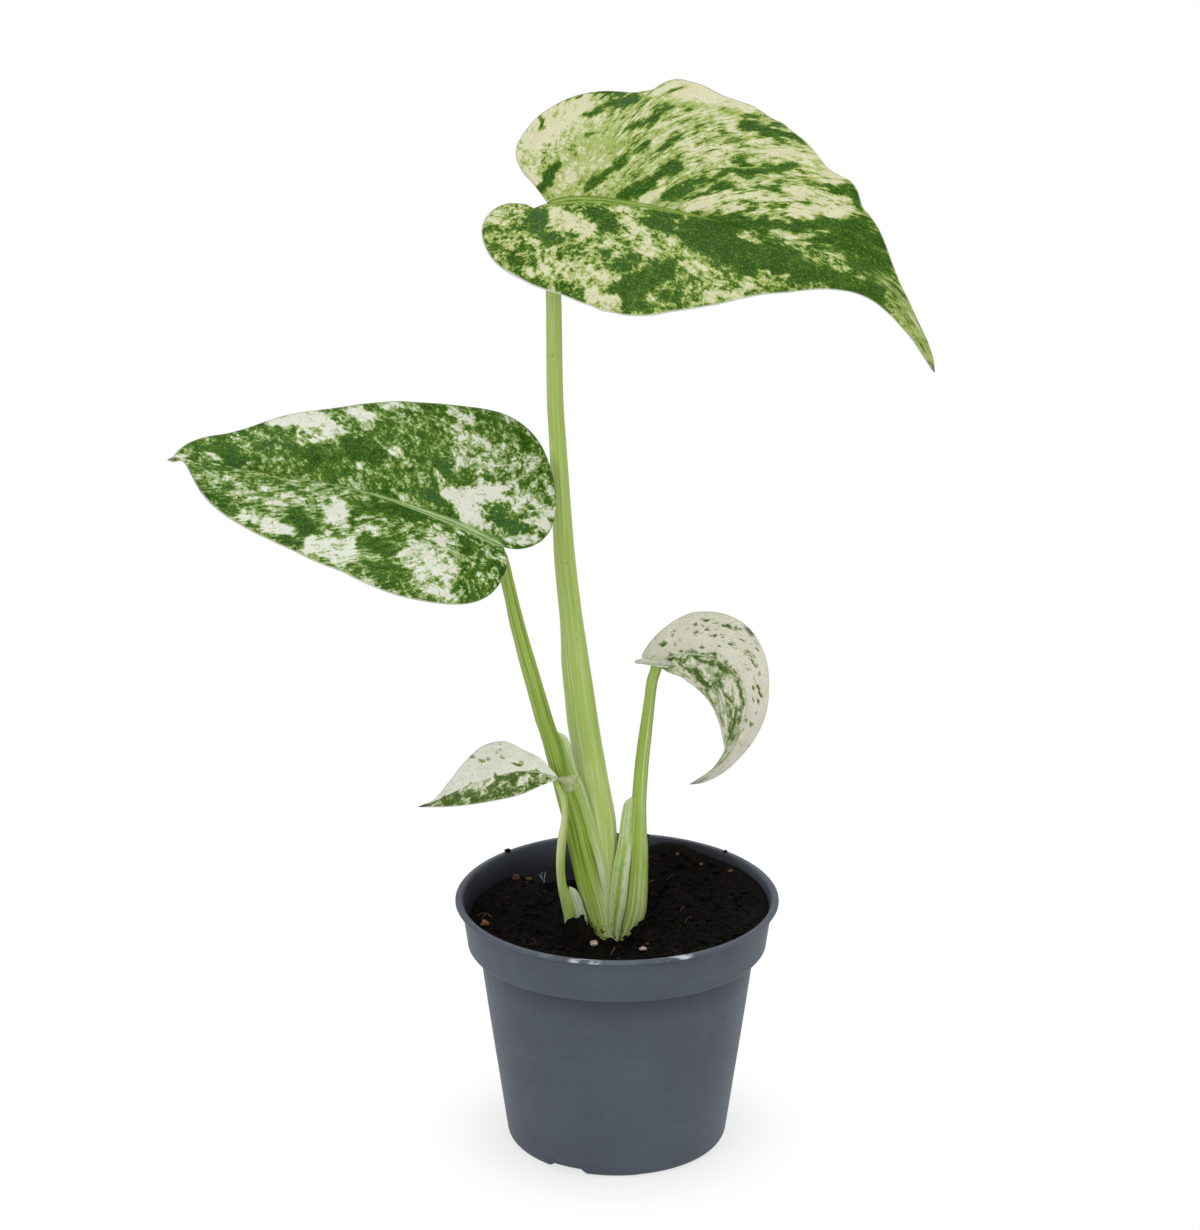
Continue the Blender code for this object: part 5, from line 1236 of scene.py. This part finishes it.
def build_leaf(name, node, leaf, finish, columns, rows, thick=0.2):
    """A blade with an upper and a lower side, a grooved midrib and a closed rim."""
    midrib = smooth_curve(leaf["midrib"], MIDRIB_POINTS)
    tip, base = midrib[0], midrib[-1]
    margins = [smooth_curve((tip, *leaf[side], base), MARGIN_POINTS) for side in ("back", "front")]
    up = np.cross(tip - base, np.subtract(*(margin[MARGIN_POINTS // 2] for margin in margins[::-1])))
    up = up / np.linalg.norm(up)
    up = up if up[2] > 0 else -up

    wide = 2 * rows + 1
    share = (np.arange(1, columns) / columns)[:, None].repeat(wide, axis=1)
    outs = np.broadcast_to(np.linspace(-1.0, 1.0, wide), share.shape)
    notch = leaf.get("notch", (0.0, 0.0))
    middle = np.concatenate([
        vein_surface(midrib, margins[k], up, leaf["puff"][k], notch[k], share[:, half], np.abs(outs)[:, half])
        for k, half in ((0, slice(0, rows)), (1, slice(rows, None)))], axis=1)

    normal = unit(np.cross(np.gradient(middle, axis=1), np.gradient(middle, axis=0)))
    if (normal @ up).mean() < 0:
        normal = -normal
    along_rib = 1.0 - (1.0 - share) ** VEIN_SLANT
    rib_size = leaf["rib"] * (0.16 + 0.84 * soft_step(0.45, 0.97, along_rib))
    rib_size = rib_size * (1.0 - 0.6 * soft_step(0.975, 1.0, along_rib))
    from_rib, to_back, to_front = (np.linalg.norm(middle - middle[:, k:k + 1], axis=2)
                                   for k in (rows, 0, wide - 1))
    to_margin = np.minimum(to_back, to_front)
    groove = rib_size * band(from_rib, 0.0, rib_size)
    edge = soft_step(1.6, 0.0, to_margin)
    relief = np.cos(TURN * share * VEIN_WAVES) * np.sin(math.pi * np.abs(outs)) * 0.16 - 0.25 * edge ** 2
    half_thick = thick * (1.0 - 0.55 * edge)
    sides = [(middle + normal * (height + relief)[..., None]).reshape(-1, 3)
             for height in (half_thick - 0.30 * groove, -half_thick - 0.85 * groove)]
    lift = up * END_LIFT
    points = np.vstack([*sides, tip + lift, base + lift, tip - lift, base - lift])
    faces, below = leaf_faces(columns, wide)
    blade = make_piece(name, points, faces, [finish, LEAF_UNDER], "leaf", 55.0, below)

    def both(values, at_tip, at_base):
        """The same values on both sides, then those of the four end points."""
        return np.concatenate([values.ravel(), values.ravel(), [at_tip, at_base, at_tip, at_base]])

    on_back = outs.ravel() < 0
    spots = middle.reshape(-1, 3)
    none = np.zeros(len(spots))
    ragged = spots + np.column_stack([1.5 * lumps(spots, 5.0, k) + 0.9 * lumps(spots, 1.9, k + 3.0)
                                      for k in (1.0, 5.0, 9.0)])
    pale = patch_field(ragged, np.where(on_back, *leaf["pale"]), leaf.get("patches", ()))
    even = patch_field(ragged, np.where(on_back, *leaf["even"]), leaf.get("even_patches", ()))
    # Patches of painted bluish sheen and shade.
    sheen_and_shade = patch_field(ragged, none, leaf.get("sheen_and_shade_patches", ()), 2.2)
    withered = patch_field(spots, none, leaf.get("withered", ()))
    from_base = np.linalg.norm(middle - base, axis=2)
    streak = np.where(on_back, *leaf["streak"]) * (0.25 + 0.75 * soft_step(12.0, 50.0, from_base.ravel()))
    spine = np.linalg.norm(tip - base) * 1.25
    flat = np.column_stack([both(share * spine, 0.0, spine),
                            both(np.sign(outs) * (from_rib + 30.0), 0.0, 0.0)])
    lay_out(blade, "vein_map", flat)
    # The rim's sign tells a margin at the top of the blade, which gets painted shade, from one that hangs
    # down, which gets a painted highlight.
    rising = np.where(outs < 0, (middle[:, :1] - middle[:, 3:4])[..., 2] > 0,
                      (middle[:, -1:] - middle[:, -4:-3])[..., 2] > 0)
    rim = to_margin + 0.01 + 2.0 * soft_step(4.0, 1.5, from_base)
    for title, values, at_tip, at_base in (
            ("pale", pale, pale[0], pale[-1]), ("even", even, even[0], even[-1]),
            ("streak", streak, 1.0, 1.0), ("sheen_and_shade", sheen_and_shade, 0.0, 0.0), ("withered", withered, withered[0], 0.0),
            ("rib", from_rib / rib_size * np.where(outs < 0, -1.0, 1.0), 0.0, 0.0),
            ("rib_strength", soft_step(*leaf["rib_fade"], along_rib), 0.0, 1.0),
            ("along", share * spine * MM, 0.0, spine * MM),
            ("rim", rim * np.where(rising, -1.0, 1.0), 0.0, 2.0)):
        paint(blade, title, both(values, at_tip, at_base))
    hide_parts(node)


# ================================================================ bits on the soil and the lip

def box_of(node):
    """Middle and half sizes of a plain piece's box."""
    low, high = (np.array(corner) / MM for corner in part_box(node))
    return (low + high) / 2, (high - low) / 2


def shape_bit(name, centre, half, finish, slot, seed):
    """A knobbly grain of the given half sizes."""
    points, faces = lump_shape(random.Random(seed), 4)
    rough = np.array([noise.noise(Vector(p) * 4.0 + Vector((seed, 0, 0))) for p in points])
    points = points * (1.0 + 0.12 * rough)[:, None]
    points = points / np.abs(points).max(axis=0)
    bit = make_piece(name, points * half + centre, faces, [finish], slot, 60.0)
    if finish is SOIL:
        paint(bit, "tone", np.full(len(points), 0.3))
    return bit


def build_bit(node, finish, slot, seed):
    """A finer grain where the plain one lies."""
    middle, half = box_of(node)
    x, y = middle[:2]
    if np.hypot(x, y) < 56.0:
        middle[2] = max(middle[2] - 0.45, soil_height(x, y) + crumbly(x, y) + 0.2 * half[2])
    else:
        middle, half = middle * (1.014, 1.014, 1.0) - (0.0, 0.0, 0.1), half * 1.2
    bit = shape_bit(node + "_grain", middle, half, finish, slot, seed)
    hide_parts(node)


def build_crown():
    """The short stem under the stalks, seen only where the soil is low."""
    centre, half = box_of("stem_base")
    low, tall = centre[2] - half[2], 2 * half[2] + 3.0
    turns = even_turns(48)
    rings = []
    for height in np.linspace(low, low + tall, 30):
        radius = 7.2 * math.sin(math.pi * min((height - low) / tall * 0.75 + 0.22, 1.0)) ** 0.6
        knob = radius * (1.0 + 0.06 * np.sin(7 * turns + height) + 0.04 * np.sin(13 * turns - height * 0.7))
        rings.append(np.column_stack([centre[0] + knob * np.cos(turns), centre[1] + knob * np.sin(turns),
                                      np.full(48, height)]))
    crown = make_piece("stem_crown", *closed_rings(rings), [BARK], "stem", 70.0)
    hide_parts("stem_base")


# ================================================================ building the plant

pot = build_pot()
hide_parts("pot")
soil = build_soil()
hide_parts("soil")
build_crumbs()

build_stalk("main_stalk", "main_petiole", MAIN_PATH, 240, STALK_LIME, main_tone, 16, 0.11, 3)
build_stalk("left_stalk", "left_petiole", LEFT_PATH, 180, STALK_GREEN, left_tone, 12, 0.10, 5)
build_stalk("right_stalk", "right_petiole", RIGHT_PATH, 150, STALK_GREEN, right_tone, 11, 0.10, 7)
build_stalk("small_stalk", "small_petiole", SMALL_PATH, 100, STALK_LIME, small_tone, 8, 0.05, 9)
build_stalk("small_sheath", "small_petiole", SMALL_WING, 60, SHEATH_PALE, small_wing_tone, 5, 0.02, 11,
            -18, 0.3)
build_stalk("left_sheath", "left_petiole", LEFT_WING, 110, SHEATH_CLEAR, left_wing_tone, 6, 0.03, 15,
            -22, 0.1)
build_stalk("right_sheath", "right_petiole", RIGHT_WING, 90, SHEATH_CLEAR, right_wing_tone, 6, 0.03, 17,
            10, 0.5)

build_leaf("top_leaf", "top_blade", TOP_LEAF, CREAM_TOP, 240, 52, 0.26)
build_leaf("left_leaf", "left_blade", LEFT_LEAF, WHITE_TOP, 220, 50, 0.26)
build_leaf("right_leaf", "right_blade", RIGHT_LEAF, PALE_TOP, 160, 40)
build_leaf("right_leaf_fold", "right_blade", RIGHT_FOLD, FOLD_TOP, 60, 12, 0.18)
build_leaf("small_leaf", "small_blade", SMALL_LEAF, SMALL_TOP, 140, 36)
build_leaf("small_leaf_lobe", "small_blade", SMALL_LOBE, LOBE_TOP, 50, 14)

for bit_node, bit_finish, bit_slot, bit_seed in (
        ("bark_chip", BARK, "bark", 2), ("perlite_grain", PERLITE, "perlite", 3),
        ("pale_chip", PERLITE, "perlite", 4), ("tan_grain_left", TAN, "bark", 5),
        ("tan_grain_right", TAN, "bark", 6), ("tan_grain_back", TAN, "bark", 7),
        ("rim_crumb_left", SOIL, "potting_mix", 8), ("rim_crumb_back", SOIL, "potting_mix", 8),
        ("rim_crumb_right", SOIL, "potting_mix", 8)):
    build_bit(bit_node, bit_finish, bit_slot, bit_seed)
shape_bit("reddish_lump", (-38.4, 35.8, 88.5), (1.7, 1.4, 1.3), REDDISH, "bark", 12)
shape_bit("leaf_crumb", (24.2, 51.5, 95.0), (1.9, 1.4, 1.7), LEAF_CRUMB, "leaf", 14)
shape_bit("back_grain", (23.2, 45.0, 94.3), (0.9, 0.8, 0.6), TAN, "bark", 15)
shape_bit("pinkish_grain", (11.0, -17.4, 84.3), (1.2, 1.0, 0.8), REDDISH, "bark", 16)
build_fibres("root_fibres", [*strewn_fibres(), *SOIL_FIBRES], FIBRE)
build_fibres("wall_fibre", WALL_FIBRES, PALE_FIBRE)
build_crown()


# ================================================================ floor, light and camera

FILL = 0.60  # the world's light on the plant, as a share of white
WHITE = (1.0, 1.0, 1.0, 1.0)
FLOOR_GREY = (0.86, 0.86, 0.86, 1.0)
FLOOR_HALF = 1.4
LIGHT_AIM = Vector((0.0, 0.0, 0.2))
LENS = 128.4
CAMERA_PLACE = (-0.00632, -1.5, 0.7389)
CAMERA_TILT = 70.471  # degrees from looking straight down


def seen_by(tree, *rays):
    """1 for the camera's own rays and the named kinds, and 0 for the light that falls on things."""
    path = add_node(tree, "LightPath", {}).outputs
    seen = Wire(path[f"Is {rays[-1]} Ray"])
    for ray in (*rays[-2::-1], "Camera"):
        seen = seen.calc("MAXIMUM", Wire(path[f"Is {ray} Ray"]), seen)
    return seen


def mix_surfaces(share, first, second, output):
    """Mixes two shaders into a material's or a world's output."""
    mix = add_node(share.tree, "MixShader", {"Fac": share, 1: Wire(first.outputs[0]),
                                             2: Wire(second.outputs[0])})
    put(output.inputs["Surface"], Wire(mix.outputs[0]))


def build_world():
    world = bpy.data.worlds.new("studio")
    bpy.context.scene.world = world
    world.use_nodes = True
    tree = world.node_tree
    tree.nodes.clear()
    light, shown = (add_node(tree, "Background", {"Color": WHITE, "Strength": strength})
                    for strength in (FILL, 1.0))
    mix_surfaces(seen_by(tree, "Glossy", "Transmission"), light, shown, add_node(tree, "OutputWorld", {}))


def build_floor():
    """A pale floor that is plain white to the camera away from the pot's soft shadow."""
    mesh = bpy.data.meshes.new("studio_floor")
    corners = [(x * FLOOR_HALF, y * FLOOR_HALF, 0) for x, y in ((-1, -1), (1, -1), (1, 1), (-1, 1))]
    mesh.from_pydata(corners, [], [(0, 1, 2, 3)])
    floor = add_object("studio_floor", mesh)
    made, tree, shader = new_material("studio_floor", 1.0, 0.0)
    shader.inputs["Base Color"].default_value = FLOOR_GREY
    white = add_node(tree, "Emission", {"Color": WHITE, "Strength": 1.0})
    x, y, _ = map(Wire, add_node(tree, "SeparateXYZ", {0: object_place(tree)}).outputs)
    away = x.calc("SQRT", x * x + y * y)
    shown = spread(away, 0.036, 0.075, 0.72, 1.0) * seen_by(tree, "Glossy")
    mix_surfaces(shown, shader, white, tree.nodes["Material Output"])
    mesh.materials.append(made)


def softbox(name, place, size, power):
    lamp = bpy.data.lights.new(name, "AREA")
    lamp.shape = "DISK"
    lamp.size = size
    lamp.energy = power
    made = add_object(name, lamp)
    made.location = place
    made.rotation_euler = (LIGHT_AIM - made.location).to_track_quat("-Z", "Y").to_euler()


build_world()
build_floor()
softbox("front_left_light", (-1.1, -1.5, 1.3), 1.3, 9.0)
softbox("top_light", (0.25, -0.25, 1.9), 1.2, 8.0)
softbox("right_light", (1.5, -0.7, 0.8), 1.0, 3.0)

camera = bpy.data.cameras.new("camera")
camera.lens = LENS
camera.sensor_width = 36.0
camera.clip_end = 20.0
camera_object = add_object("camera", camera)
camera_object.location = CAMERA_PLACE
camera_object.rotation_euler = (math.radians(CAMERA_TILT), 0.0, 0.0)
bpy.context.scene.camera = camera_object

bpy.context.scene.view_settings.view_transform = "Standard"
